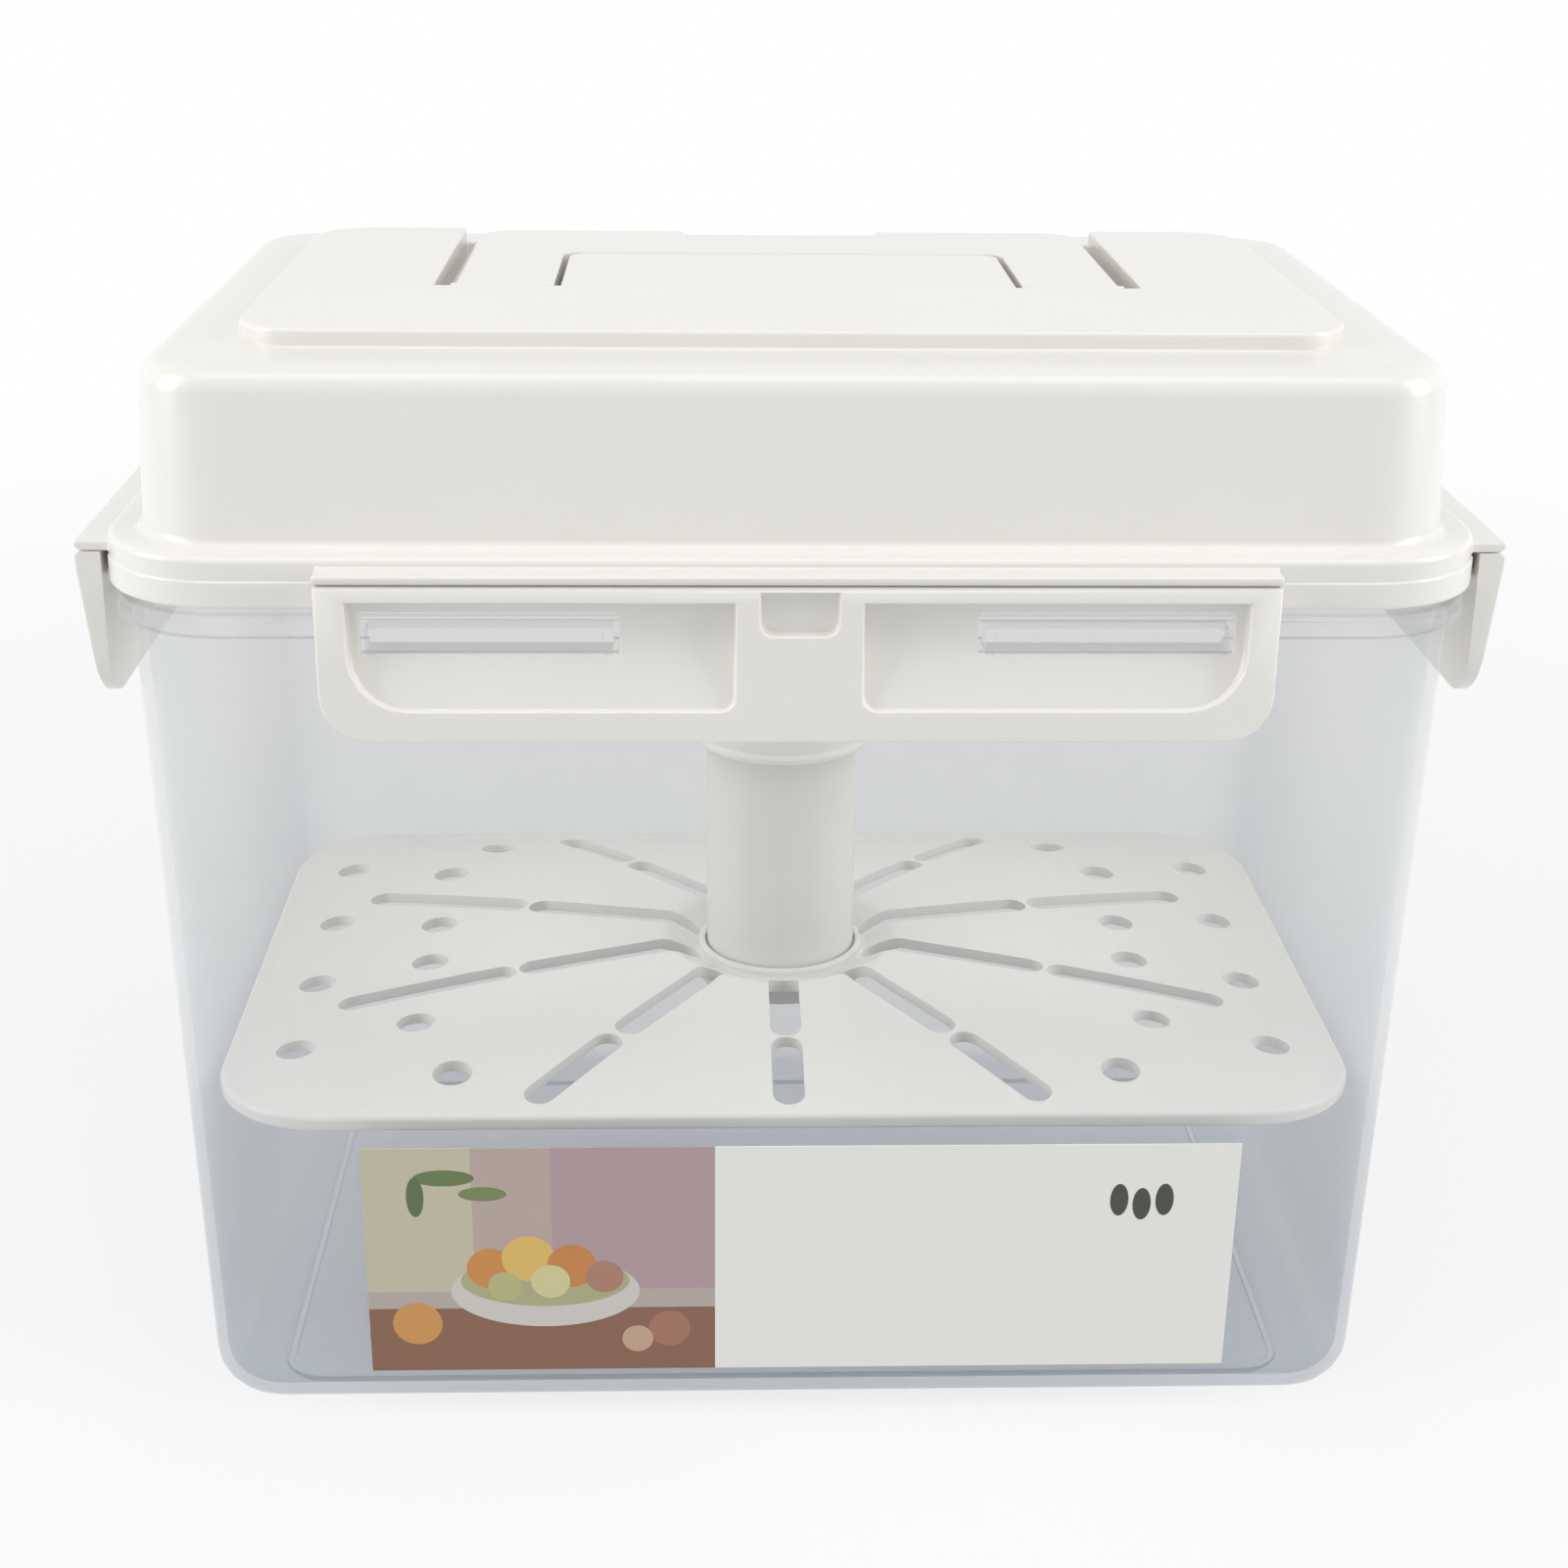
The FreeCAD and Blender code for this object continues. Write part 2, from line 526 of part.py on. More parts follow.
def build_latch(name, turn, half, length, lug, lean=0):
    """Snap latch, drawn as the front one and turned to its side: frame, two pockets, two slots."""
    body = new_body(name)
    outer, low = half + s.latch_reach, LATCH_TOP - s.latch_height
    face = new_sketch(body, "latch_face", "XZ_Plane", outer)
    outline(face, ((-length / 2, low, s.latch_corner), (length / 2, low, s.latch_corner),
                   (length / 2, LATCH_TOP, 0), (-length / 2, LATCH_TOP, 0)))
    frame = pad(face, s.latch_thick, back=True)
    chamfer(frame, s.hinge_bevel, lambda box: level_at(LATCH_TOP)(box)
            and near(box.YMin, -outer) and near(box.YMax, -outer))
    cut_pockets(body, outer, low, length)
    cut_slots(body, outer, *lug)
    notch = new_sketch(body, "thumb_notch", "XZ_Plane", outer)
    top, half_notch = LATCH_TOP - s.notch_drop, s.notch_width / 2
    outline(notch, ((-half_notch, top - s.notch_height, s.notch_corner),
                    (half_notch, top - s.notch_height, s.notch_corner),
                    (half_notch, top, 0), (-half_notch, top, 0)))
    pocket(notch, s.notch_depth)
    core = new_sketch(body, "back_core", "XZ_Plane", outer - s.latch_thick)
    core_half = s.pocket_mid_bar / 2 - s.core_margin
    box_plan(core, -core_half, core_half, low + s.core_margin,
             top - s.notch_height - s.core_margin, s.core_margin / 2)
    pocket(core, s.latch_thick - s.core_margin, ahead=True)
    if lean:
        slant = new_sketch(body, "slanted_face", "YZ_Plane", -length / 2 - s.cut_margin)
        top_bar = LATCH_TOP - s.pocket_top_bar
        outside, under = -outer - s.cut_margin, low - s.cut_margin
        polygon(slant, ((outside, top_bar), (-outer, top_bar), (-outer + lean, low),
                        (-outer + lean, under), (outside, under)))
        pocket(slant, length + s.cut_margin * 2, ahead=True)
    body.Placement = Placement(Vector(), Rotation(Vector(0, 0, 1), turn))
    return body


def cut_pockets(body, outer, low, length):
    """Cut the two finger pockets; each floor rises towards the latch's lower edge."""
    inner, end = s.pocket_mid_bar / 2, length / 2 - s.pocket_end_bar
    bottom, top = low + s.pocket_low_bar, LATCH_TOP - s.pocket_top_bar
    small, large = s.pocket_inner_corner, s.pocket_corner
    for side in (-1, 1):
        plan = new_sketch(body, "finger_pocket", "XZ_Plane", outer)
        corners = [(inner, bottom, small), (end, bottom, large), (end, top, 0), (inner, top, 0)]
        if side < 0:
            corners = [(-x, y, radius) for x, y, radius in reversed(corners)]
        outline(plan, corners)
        pocket(plan, s.pocket_depth)
        floor = s.pocket_depth - outer
        rise = new_sketch(body, "pocket_slope", "YZ_Plane", inner if side > 0 else -end)
        polygon(rise, ((floor, bottom), (floor - s.slope_depth, bottom),
                       (floor, bottom + s.slope_height)))
        pad(rise, end - inner)


def cut_slots(body, outer, place, length):
    """Cut the slots that drop over the tub's lugs."""
    bottom, top = LUG_LOW - s.slot_seat, LUG_LOW + s.lug_height + s.slot_headroom
    for side in (-1, 1):
        near_end, far_end = place - length / 2 - s.slot_play, place + length / 2 + s.slot_play
        left, right = (near_end, far_end) if side > 0 else (-far_end, -near_end)
        slot = new_sketch(body, "lug_slot", "XZ_Plane", outer)
        box_plan(slot, left, right, bottom, top)
        pocket(slot, s.latch_thick)


def build_handle():
    """Folding handle: grip, two arms with round ends, and a pin on the outside of each arm."""
    body = new_body("handle")
    plan = new_sketch(body, "handle_plan", "XY_Plane", HANDLE_LOW)
    pivot, corner, inner_corner = -s.pivot_place, s.grip_corner, s.grip_inner_corner
    outline(plan, ((-HANDLE_X, pivot, 0), (-HANDLE_INNER, pivot, 0),
                   (-HANDLE_INNER, GRIP_FRONT, inner_corner), (HANDLE_INNER, GRIP_FRONT, inner_corner),
                   (HANDLE_INNER, pivot, 0), (HANDLE_X, pivot, 0), (HANDLE_X, GRIP_BACK, corner),
                   (-HANDLE_X, GRIP_BACK, corner)))
    grip = pad(plan, s.handle_thick)
    chamfer(grip, s.grip_bevel, lambda box: near(box.YMax, GRIP_BACK) and near(box.YMin, GRIP_BACK)
           and box.XLength > box.ZLength)
    scoop = new_sketch(body, "finger_scoop", "XY_Plane", HANDLE_TOP)
    half = s.scoop_length / 2
    front, back = GRIP_BACK - s.scoop_width, GRIP_BACK + s.scoop_width
    outline(scoop, ((-half, front, s.scoop_corner), (half, front, s.scoop_corner),
                    (half, back, 0), (-half, back, 0)))
    pocket(scoop, s.scoop_depth)
    for side in (-1, 1):
        start = HANDLE_INNER if side > 0 else -HANDLE_X
        knuckle = new_sketch(body, "arm_end", "YZ_Plane", start)
        circle(knuckle, pivot, PIVOT_HEIGHT, s.handle_thick / 2)
        pad(knuckle, s.arm_width)
        reach = s.recess_side_play + s.pin_length - s.lid_wall
        pin = new_sketch(body, "pin", "YZ_Plane", HANDLE_X if side > 0 else -HANDLE_X - reach)
        circle(pin, pivot, PIVOT_HEIGHT, PIN_RADIUS)
        pad(pin, reach)
    return body


def build_sleeve():
    """Outer tube of the column, pushed on the lid's spigot, with a thick guide at its lower end."""
    body = new_body("sleeve")
    profile = new_sketch(body, "sleeve_profile", "XZ_Plane")
    lip = SLEEVE_RADIUS + s.lip_reach
    polygon(profile, ((GUIDE_BORE, SLEEVE_LOW), (lip, SLEEVE_LOW),
                      (SLEEVE_RADIUS, SLEEVE_LOW + s.lip_height), (SLEEVE_RADIUS, PANEL_CEILING),
                      (SLEEVE_BORE, PANEL_CEILING), (SLEEVE_BORE, GUIDE_TOP), (GUIDE_BORE, GUIDE_TOP)))
    revolve(profile)
    return body


def build_inner_tube():
    """Inner tube of the column; its stop flange rests on the sleeve's guide."""
    body = new_body("inner_tube")
    profile = new_sketch(body, "tube_profile", "XZ_Plane")
    bore, stop = TUBE_RADIUS - s.tube_wall, TUBE_RADIUS + s.stop_reach
    top = GUIDE_TOP + s.stop_height
    polygon(profile, ((bore, TUBE_LOW), (TUBE_RADIUS, TUBE_LOW), (TUBE_RADIUS, GUIDE_TOP),
                      (stop, GUIDE_TOP), (stop, top), (bore, top)))
    revolve(profile)
    return body


COIL_STEPS = 14
WIRE_SIDES = 6


def build_spring():
    """Coil spring inside the column, between the lid and the press plate's hub."""
    spring = document.addObject("Part::Feature", "spring")
    spring.Label = "spring"
    wire = s.wire_diameter.value / 2
    middle = s.spring_diameter.value / 2 - wire
    low, high = TUBE_LOW.value + wire, PANEL_CEILING.value - wire
    count = round(s.spring_turns.value * COIL_STEPS)
    sections = []
    for step in range(count + 1):
        turn = 2 * math.pi * step / COIL_STEPS
        corners = []
        for side in range(WIRE_SIDES + 1):
            lean = 2 * math.pi * side / WIRE_SIDES
            reach = middle + wire * math.cos(lean)
            corners.append(Vector(reach * math.cos(turn), reach * math.sin(turn),
                                  low + (high - low) * step / count + wire * math.sin(lean)))
        sections.append(Part.makePolygon(corners))
    spring.Shape = Part.makeLoft(sections, True, True)
    spring.Placement = Placement()
    return spring


def build_press_plate():
    """Press plate: a perforated dome in a flat rim, with a dished hub and ring round the column."""
    body = new_body("press_plate")
    add_dome(body, BAND_TOP, DOME_TOP, 0)
    edge = new_sketch(body, "plate_edge", "XY_Plane", PLATE_LOW)
    rounded_plan(edge, PLATE_X, PLATE_Y, s.plate_corner)
    chamfer(pad(edge, s.plate_edge), s.plate_bevel, outer_edge)
    carve(body, plate_underside())
    add_hub(body)
    perforate(body)
    return body


def outer_edge(box):
    """Pick the rim's top edges, outside the dome's foot."""
    return level_at(BAND_TOP)(box) and (max(-box.XMin, box.XMax) > FIELD_X.value + s.plate_bevel.value
                                        or max(-box.YMin, box.YMax) > FIELD_Y.value + s.plate_bevel.value)


def plate_underside():
    """The space under the press plate, as a body of its own that the plate is cut with."""
    space = new_body("plate_space")
    wall = s.plate_wall
    add_dome(space, BAND_TOP - wall, DOME_TOP - wall, wall / 2)
    under = new_sketch(space, "edge_inside", "XY_Plane", PLATE_LOW)
    rounded_plan(under, PLATE_X - wall, PLATE_Y - wall, s.plate_corner - wall)
    pad(under, s.plate_edge - wall)
    return space


def add_dome(body, low, top, inset):
    """Add the dome: a block on the field's plan, cut to a shallow vault along each of its sides."""
    plan = new_sketch(body, "dome_plan", "XY_Plane", low - s.dome_root)
    rounded_plan(plan, FIELD_X - inset, FIELD_Y - inset, s.plate_corner - s.band_width - inset)
    pad(plan, top - low + s.dome_root)
    for name, plane, half, across in (("along", "XZ_Plane", FIELD_X, FIELD_Y),
                                      ("across", "YZ_Plane", FIELD_Y, FIELD_X)):
        above = new_sketch(body, f"above_vault_{name}", plane)
        vault_profile(above, half, low, top)
        cut = pocket(above, (across + s.cut_margin) * 2)
        cut.Midplane = True
    document.recompute()


def vault_profile(sketch, half, low, top):
    """Draw what lies above a wide arc through the crest and through the low level at both sides."""
    rise, reach, roof = top - low, half + s.cut_margin, top + s.cut_margin
    radius = (half * half + rise * rise) / (rise * 2)
    centre = top - radius
    start = math.acos(reach.value / radius.value)
    end = centre.value + radius.value * math.sin(start)
    ring = Part.Circle(Vector(0, centre.value, 0), Vector(0, 0, 1), radius.value)
    arc = sketch.addGeometry(Part.ArcOfCircle(ring, start, math.pi - start), False)
    place_point(sketch, arc, 3, (0, centre))
    fix(sketch, "Radius", arc, radius)
    spots = [Vector(x, y, 0) for x, y in ((-reach.value, end), (-reach.value, roof.value),
                                          (reach.value, roof.value), (reach.value, end))]
    lines = [sketch.addGeometry(Part.LineSegment(*pair), False) for pair in zip(spots, spots[1:])]
    for before, after in ((arc, lines[0]), (lines[0], lines[1]), (lines[1], lines[2]), (lines[2], arc)):
        sketch.addConstraint(Sketcher.Constraint("Coincident", before, 2, after, 1))
    place_point(sketch, lines[1], 1, (-reach, roof))
    place_point(sketch, lines[1], 2, (reach, roof))
    sketch.addConstraint(Sketcher.Constraint("Vertical", lines[0]))
    sketch.addConstraint(Sketcher.Constraint("Vertical", lines[2]))


def add_hub(body):
    """Open the dome's middle, then turn the dished hub with the ring that holds the column."""
    opening = new_sketch(body, "hub_opening", "XY_Plane", DOME_TOP + s.cut_margin)
    circle(opening, 0, 0, s.dish_radius)
    pocket(opening, DOME_TOP - PLATE_LOW + s.cut_margin * 2)
    ring, socket = TUBE_RADIUS + s.ring_reach, TUBE_RADIUS + s.seat_play
    low, ring_top = TUBE_LOW - s.hub_floor, BAND_TOP + s.ring_height
    dish = DOME_TOP - s.dish_depth
    profile = new_sketch(body, "hub_profile", "XZ_Plane")
    polygon(profile, ((0, low), (ring, low), (ring, dish - s.plate_wall),
                      (s.dish_radius, DOME_TOP - s.plate_wall), (s.dish_radius, DOME_TOP),
                      (ring, dish), (ring, ring_top), (socket + s.ring_mouth, ring_top),
                      (socket + s.ring_mouth, ring_top - s.ring_mouth_depth),
                      (socket, ring_top - s.ring_mouth_depth), (socket, TUBE_LOW), (0, TUBE_LOW)))
    revolve(profile)


HOLES = ((0.874, 0.637), (0.874, 0.216), (0.667, 0.533), (0.667, 0.135), (0.586, 0.8))
SLOTS = ((16.5, 0.304, 0.775), (16.5, 0.874, 1.317), (52.5, 0.35, 0.73), (52.5, 0.836, 1.125),
         (90.0, 0.36, 0.59), (90.0, 0.684, 0.9))


def perforate(body):
    """Cut the round holes and the slots that point at the column."""
    holes = new_sketch(body, "round_holes", "XY_Plane", DOME_TOP + s.cut_margin)
    for along, across in HOLES:
        for x, y in ((along, across), (-along, across), (-along, -across), (along, -across)):
            circle(holes, PLATE_X * x, PLATE_Y * y, s.hole_diameter / 2)
    pocket(holes, DOME_TOP - PLATE_LOW + s.cut_margin * 2)
    for number, (angle, start, end) in enumerate(SLOTS, 1):
        slots = new_sketch(body, f"radial_slots_{number}", "XY_Plane", DOME_TOP + s.cut_margin)
        mirrored = (angle, 180 - angle, 180 + angle, 360 - angle) if angle < 90 else (90, 270)
        for turn in mirrored:
            radial_slot(slots, turn, PLATE_Y * start, PLATE_Y * end)
        pocket(slots, DOME_TOP - PLATE_LOW + s.cut_margin * 2)


def radial_slot(sketch, turn, start, end):
    """Draw a slot with round ends along a line from the centre."""
    across = math.radians(turn)
    way = Vector(math.cos(across), math.sin(across), 0)
    side = Vector(-way.y, way.x, 0)
    half = s.slot_width / 2
    centres = [way * start.value, way * end.value]
    sides = [sketch.addGeometry(Part.LineSegment(centres[first] + side * (half.value * hand),
                                                 centres[1 - first] + side * (half.value * hand)), False)
             for first, hand in ((0, -1), (1, 1))]
    ends = []
    for centre, angle in ((centres[1], across - math.pi / 2), (centres[0], across + math.pi / 2)):
        ring = Part.Circle(centre, Vector(0, 0, 1), half.value)
        ends.append(sketch.addGeometry(Part.ArcOfCircle(ring, angle, angle + math.pi), False))
    for before, after in ((sides[0], ends[0]), (ends[0], sides[1]), (sides[1], ends[1]),
                          (ends[1], sides[0])):
        sketch.addConstraint(Sketcher.Constraint("Tangent", before, 2, after, 1))
    for number, place in ((ends[0], end), (ends[1], start)):
        place_point(sketch, number, 3, (place * way.x, place * way.y))
    fix(sketch, "Radius", ends[0], half)


def build_label():
    """Printed label on the front wall, lying at the wall's own slope."""
    body = new_body("label")
    plan = new_sketch(body, "label_plan", "XZ_Plane")
    half = s.label_length / 2
    box_plan(plan, s.label_shift - half, s.label_shift + half, 0, s.label_height)
    pad(plan, s.label_thick)
    body.Placement = Placement(Vector(), Rotation(Vector(1, 0, 0), s.tub_draft.value))
    bind(body, "Placement.Base.y", -tub_half(TUB_Y, s.label_low))
    bind(body, "Placement.Base.z", s.label_low)
    return body


FRONT_LUGS = (s.front_lug_place, s.front_lug_length)
SIDE_LUGS = (s.side_lug_place, s.side_lug_length)

pieces = [
    build_tub(), build_label(), build_lid(), build_gasket(), build_sleeve(), build_spring(),
    build_inner_tube(), build_press_plate(), build_handle(),
    build_latch("front_latch", 0, FLANGE_Y, s.front_latch_length, FRONT_LUGS),
    build_latch("back_latch", 180, FLANGE_Y, s.front_latch_length, FRONT_LUGS),
    build_latch("left_latch", -90, FLANGE_X, s.side_latch_length, SIDE_LUGS, s.side_latch_lean),
    build_latch("right_latch", 90, FLANGE_X, s.side_latch_length, SIDE_LUGS, s.side_latch_lean),
]
document.recompute()

failed = [thing.Label for thing in document.Objects if {"Invalid", "Error"} & set(thing.State)]
failed += [piece.Label for piece in pieces if piece.Shape.isNull() or not piece.Shape.isValid()]
if failed:
    raise RuntimeError(f"not built: {', '.join(failed)}")
os.makedirs("parts", exist_ok=True)
for piece in pieces:
    piece.Shape.exportStep(f"parts/{piece.Label}.step")
    print(piece.Label, len(piece.Shape.Solids), round(piece.Shape.Volume / 1000, 2), "cm3")
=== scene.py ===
"""Fermentation container: the finish and the fine form of every piece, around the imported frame."""

import math

import bmesh
import bpy
from mathutils import Matrix, Vector


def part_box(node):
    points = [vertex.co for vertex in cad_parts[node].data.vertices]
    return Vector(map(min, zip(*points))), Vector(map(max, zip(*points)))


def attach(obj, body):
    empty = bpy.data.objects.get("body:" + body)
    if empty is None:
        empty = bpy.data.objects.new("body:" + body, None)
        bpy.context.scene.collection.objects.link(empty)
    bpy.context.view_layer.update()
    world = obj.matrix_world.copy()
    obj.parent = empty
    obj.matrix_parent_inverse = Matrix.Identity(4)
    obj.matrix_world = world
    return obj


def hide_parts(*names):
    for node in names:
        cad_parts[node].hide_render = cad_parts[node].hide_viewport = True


bl_info = {
    "name": "Fermentation Container",
    "version": (1, 0, 0),
    "blender": (4, 5, 0),
    "location": "View3D > Sidebar > Container",
    "description": "Builds a clear pickling tub with its latched lid and sprung press plate",
    "category": "Object",
}

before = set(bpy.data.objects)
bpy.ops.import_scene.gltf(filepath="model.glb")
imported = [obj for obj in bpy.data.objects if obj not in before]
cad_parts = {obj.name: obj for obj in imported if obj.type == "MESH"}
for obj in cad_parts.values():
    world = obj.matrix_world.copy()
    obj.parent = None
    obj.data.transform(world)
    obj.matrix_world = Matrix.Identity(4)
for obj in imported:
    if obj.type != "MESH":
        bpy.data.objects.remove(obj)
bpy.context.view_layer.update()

MM = 0.001


class ContainerColours(bpy.types.PropertyGroup):
    """Colours and finishes of the container's materials."""

    white: bpy.props.FloatVectorProperty(
        name="White plastic", description="Colour of the lid, latches, handle, column and plate",
        subtype="COLOR", size=3, min=0, max=1, default=(0.81, 0.795, 0.76))
    clear: bpy.props.FloatVectorProperty(
        name="Clear plastic", description="Tint of the tub's wall",
        subtype="COLOR", size=3, min=0, max=1, default=(0.44, 0.475, 0.50))
    # Darker, bluer colour low on the wall: partly thicker plastic, partly painted shade under the
    # plate and around the foot.
    clear_low_tint_and_shade: bpy.props.FloatVectorProperty(
        name="Clear plastic, low", description="Tint of the tub's wall low down",
        subtype="COLOR", size=3, min=0, max=1, default=(0.30, 0.36, 0.43))
    # Pale colour where the wall is seen edge on: a painted reflection of the side lamps.
    clear_edge_reflection: bpy.props.FloatVectorProperty(
        name="Clear plastic, edge", description="Tint of the tub's wall seen along it",
        subtype="COLOR", size=3, min=0, max=1, default=(0.86, 0.87, 0.88))
    clear_veil: bpy.props.FloatProperty(
        name="Clear veil", description="How much one face of the tub's wall hides, looked at squarely",
        subtype="FACTOR", min=0, max=1, default=0.13)
    # The thicker veils low down and at the foot show more of that painted shade.
    clear_low_veil: bpy.props.FloatProperty(
        name="Low veil", description="How much one face of the tub's wall hides low down",
        subtype="FACTOR", min=0, max=1, default=0.155)
    clear_foot_veil: bpy.props.FloatProperty(
        name="Foot veil", description="How much the rounded foot of the tub hides",
        subtype="FACTOR", min=0, max=1, default=0.4)
    # How thickly that painted reflection covers the wall seen along it.
    clear_edge_veil: bpy.props.FloatProperty(
        name="Edge veil", description="How much one face of the tub's wall hides, seen along it",
        subtype="FACTOR", min=0, max=1, default=0.5)
    floor: bpy.props.FloatVectorProperty(
        name="Floor", description="Colour of the floor and backdrop",
        subtype="COLOR", size=3, min=0, max=1, default=(0.75, 0.75, 0.75))


class ContainerView(bpy.types.PropertyGroup):
    """Place and lens of the camera."""

    place: bpy.props.FloatVectorProperty(
        name="Place", description="Where the camera stands", subtype="TRANSLATION", unit="LENGTH",
        size=3, default=(-0.0152, -0.4632, 0.2828))
    yaw: bpy.props.FloatProperty(
        name="Yaw", description="Turn to the right of straight ahead", subtype="ANGLE",
        default=math.radians(1.94))
    pitch: bpy.props.FloatProperty(
        name="Pitch", description="Tilt down from level", subtype="ANGLE", default=math.radians(21.43))
    roll: bpy.props.FloatProperty(
        name="Roll", description="Turn about the line of sight", subtype="ANGLE",
        default=math.radians(0.63))
    lens: bpy.props.FloatProperty(
        name="Lens", description="Focal length on a 36 mm sensor, in millimetres", min=10, max=200,
        default=56.19)


class ContainerFinish(bpy.types.PropertyGroup):
    """Sizes of the moulded edges."""

    edge_round: bpy.props.FloatProperty(
        name="Edge rounding", description="Radius of the small moulded edges", subtype="DISTANCE",
        unit="LENGTH", min=0, max=0.003, default=0.0005)


# Mesh helpers

CORNER_STEPS = 12
SHARP_ANGLE = math.radians(35)

# Each piece's edges as a share of the edge rounding

TUB_EDGE, LID_EDGE, PLATE_EDGE, HANDLE_EDGE, LATCH_EDGE = 0.5, 0.6, 0.8, 1.0, 1.3


def new_object(name, data):
    """Put a new object in the scene."""
    thing = bpy.data.objects.new(name, data)
    bpy.context.scene.collection.objects.link(thing)
    return thing


def drop(thing):
    """Delete an object and its mesh."""
    mesh = thing.data
    bpy.data.objects.remove(thing)
    bpy.data.meshes.remove(mesh)


def finished(thing):
    """Turn an object with modifiers into one with a plain mesh."""
    graph = bpy.context.evaluated_depsgraph_get()
    mesh = bpy.data.meshes.new_from_object(thing.evaluated_get(graph))
    thing.modifiers.clear()
    old, thing.data = thing.data, mesh
    mesh.name = thing.name
    bpy.data.meshes.remove(old)
    return thing


def moulded(thing, share=0.0, segments=2, clamped=True):
    """Round the sharp edges by a share of the edge rounding, and keep the flat faces' normals."""
    mesh = thing.data
    mesh.polygons.foreach_set("use_smooth", [True] * len(mesh.polygons))
    mesh.set_sharp_from_angle(angle=SHARP_ANGLE)
    if share:
        bevel = thing.modifiers.new("Moulded edges", "BEVEL")
        bevel.width = bpy.context.scene.container_finish.edge_round * share
        bevel.segments = segments
        bevel.limit_method = "ANGLE"
        bevel.angle_limit = SHARP_ANGLE
        bevel.use_clamp_overlap = clamped
        bevel.harden_normals = True
    weights = thing.modifiers.new("Flat faces", "WEIGHTED_NORMAL")
    weights.keep_sharp = True
    return finished(thing)


def mesh_from(name, points, faces):
    """Make an object from points in millimetres and its faces."""
    mesh = bpy.data.meshes.new(name)
    mesh.from_pydata([[part * MM for part in point] for point in points], [], faces)
    return new_object(name, mesh)


def joined_rings(name, rings, capped=True):
    """Skin a row of rings that have the same number of points; the ends are closed or joined."""
    count, last = len(rings[0]), len(rings) - 1
    points = [point for ring in rings for point in ring]
    faces = []
    for row in range(last if capped else last + 1):
        low, high = row * count, (row + 1) % (last + 1) * count
        for step in range(count):
            ahead = (step + 1) % count
            faces.append((low + step, low + ahead, high + ahead, high + step))
    if capped:
        faces.append(tuple(reversed(range(count))))
        faces.append(tuple(range(last * count, (last + 1) * count)))
    thing = mesh_from(name, points, faces)
    shape = bmesh.new()
    shape.from_mesh(thing.data)
    bmesh.ops.remove_doubles(shape, verts=shape.verts, dist=1e-7)
    bmesh.ops.recalc_face_normals(shape, faces=shape.faces)
    shape.to_mesh(thing.data)
    shape.free()
    return thing


def rounded_ring(half_x, half_y, radius, height):
    """Points of a level rounded rectangle, in millimetres."""
    points = []
    for quarter, (side_x, side_y) in enumerate(((1, 1), (-1, 1), (-1, -1), (1, -1))):
        for step in range(CORNER_STEPS + 1):
            turn = math.radians(90) * (quarter + step / CORNER_STEPS)
            points.append((side_x * (half_x - radius) + radius * math.cos(turn),
                           side_y * (half_y - radius) + radius * math.sin(turn), height))
    return points


def rounded_path(corners, steps=4):
    """Follow corners (across, height, radius) and round each of them with an arc."""
    path = []
    for index, (across, height, radius) in enumerate(corners):
        here = Vector((across, height))
        if not radius or index in (0, len(corners) - 1):
            path.append(tuple(here))
            continue
        back = (Vector(corners[index - 1][:2]) - here).normalized()
        ahead = (Vector(corners[index + 1][:2]) - here).normalized()
        half = back.angle(ahead) / 2
        centre = here + (back + ahead).normalized() * (radius / math.sin(half))
        start, end = ((here + way * (radius / math.tan(half)) - centre).normalized()
                      for way in (back, ahead))
        for step in range(steps + 1):
            path.append(tuple(centre + start.slerp(end, step / steps) * radius))
    return path


def rounded_plan(corners, steps=6):
    """A closed plan through its corners (x, y, radius), each rounded with an arc."""
    first = [(corners[0][0] + corners[-1][0]) / 2, (corners[0][1] + corners[-1][1]) / 2, 0]
    return rounded_path([first, *corners, first], steps)[:-1]


def slab(name, plan, axis, low, high):
    """A solid with the given plan, raised along one axis; the plan runs over the other two."""
    def place(u, v, w):
        return {"X": (w, u, v), "Y": (u, w, v), "Z": (u, v, w)}[axis]

    return joined_rings(name, [[place(u, v, level) for u, v in plan] for level in (low, high)])


def block(name, low, high):
    """A plain box between two corners."""
    (x0, y0, z0), (x1, y1, z1) = low, high
    return slab(name, [(x0, y0), (x1, y0), (x1, y1), (x0, y1)], "Z", z0, z1)


def swept(name, half_x, half_y, radius, corners, steps=4):
    """Carry a closed profile round a rounded rectangle; it is given by its corners."""
    rings = [rounded_ring(half_x + across, half_y + across, max(radius + across, 0.5), height)
             for across, height in rounded_path(corners, steps)]
    return joined_rings(name, rings, capped=False)


def turned(name, corners, count=96, steps=3):
    """Turn a closed profile round the vertical axis; it is given by its corners."""
    around = [math.tau * step / count for step in range(count)]
    rings = [[(radius * math.cos(turn), radius * math.sin(turn), height) for turn in around]
             for radius, height in rounded_path(corners, steps)]
    return joined_rings(name, rings, capped=False)


def cut(thing, tool, operation="DIFFERENCE"):
    """Cut an object with another, or join the two, and drop the other."""
    both = thing.modifiers.new("Cut", "BOOLEAN")
    both.operation = operation
    both.solver = "EXACT"
    both.object = tool
    finished(thing)
    drop(tool)
    return thing


def dressed_copy(node, name, share=0.0):
    """Copy a CAD node's mesh, merge its loose triangles and round its sharp edges."""
    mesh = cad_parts[node].data.copy()
    shape = bmesh.new()
    shape.from_mesh(mesh)
    bmesh.ops.remove_doubles(shape, verts=shape.verts, dist=1e-6)
    bmesh.ops.dissolve_limit(shape, angle_limit=math.radians(0.3), verts=shape.verts,
                             edges=shape.edges)
    shape.to_mesh(mesh)
    shape.free()
    mesh.materials.clear()
    return moulded(new_object(name, mesh), share)


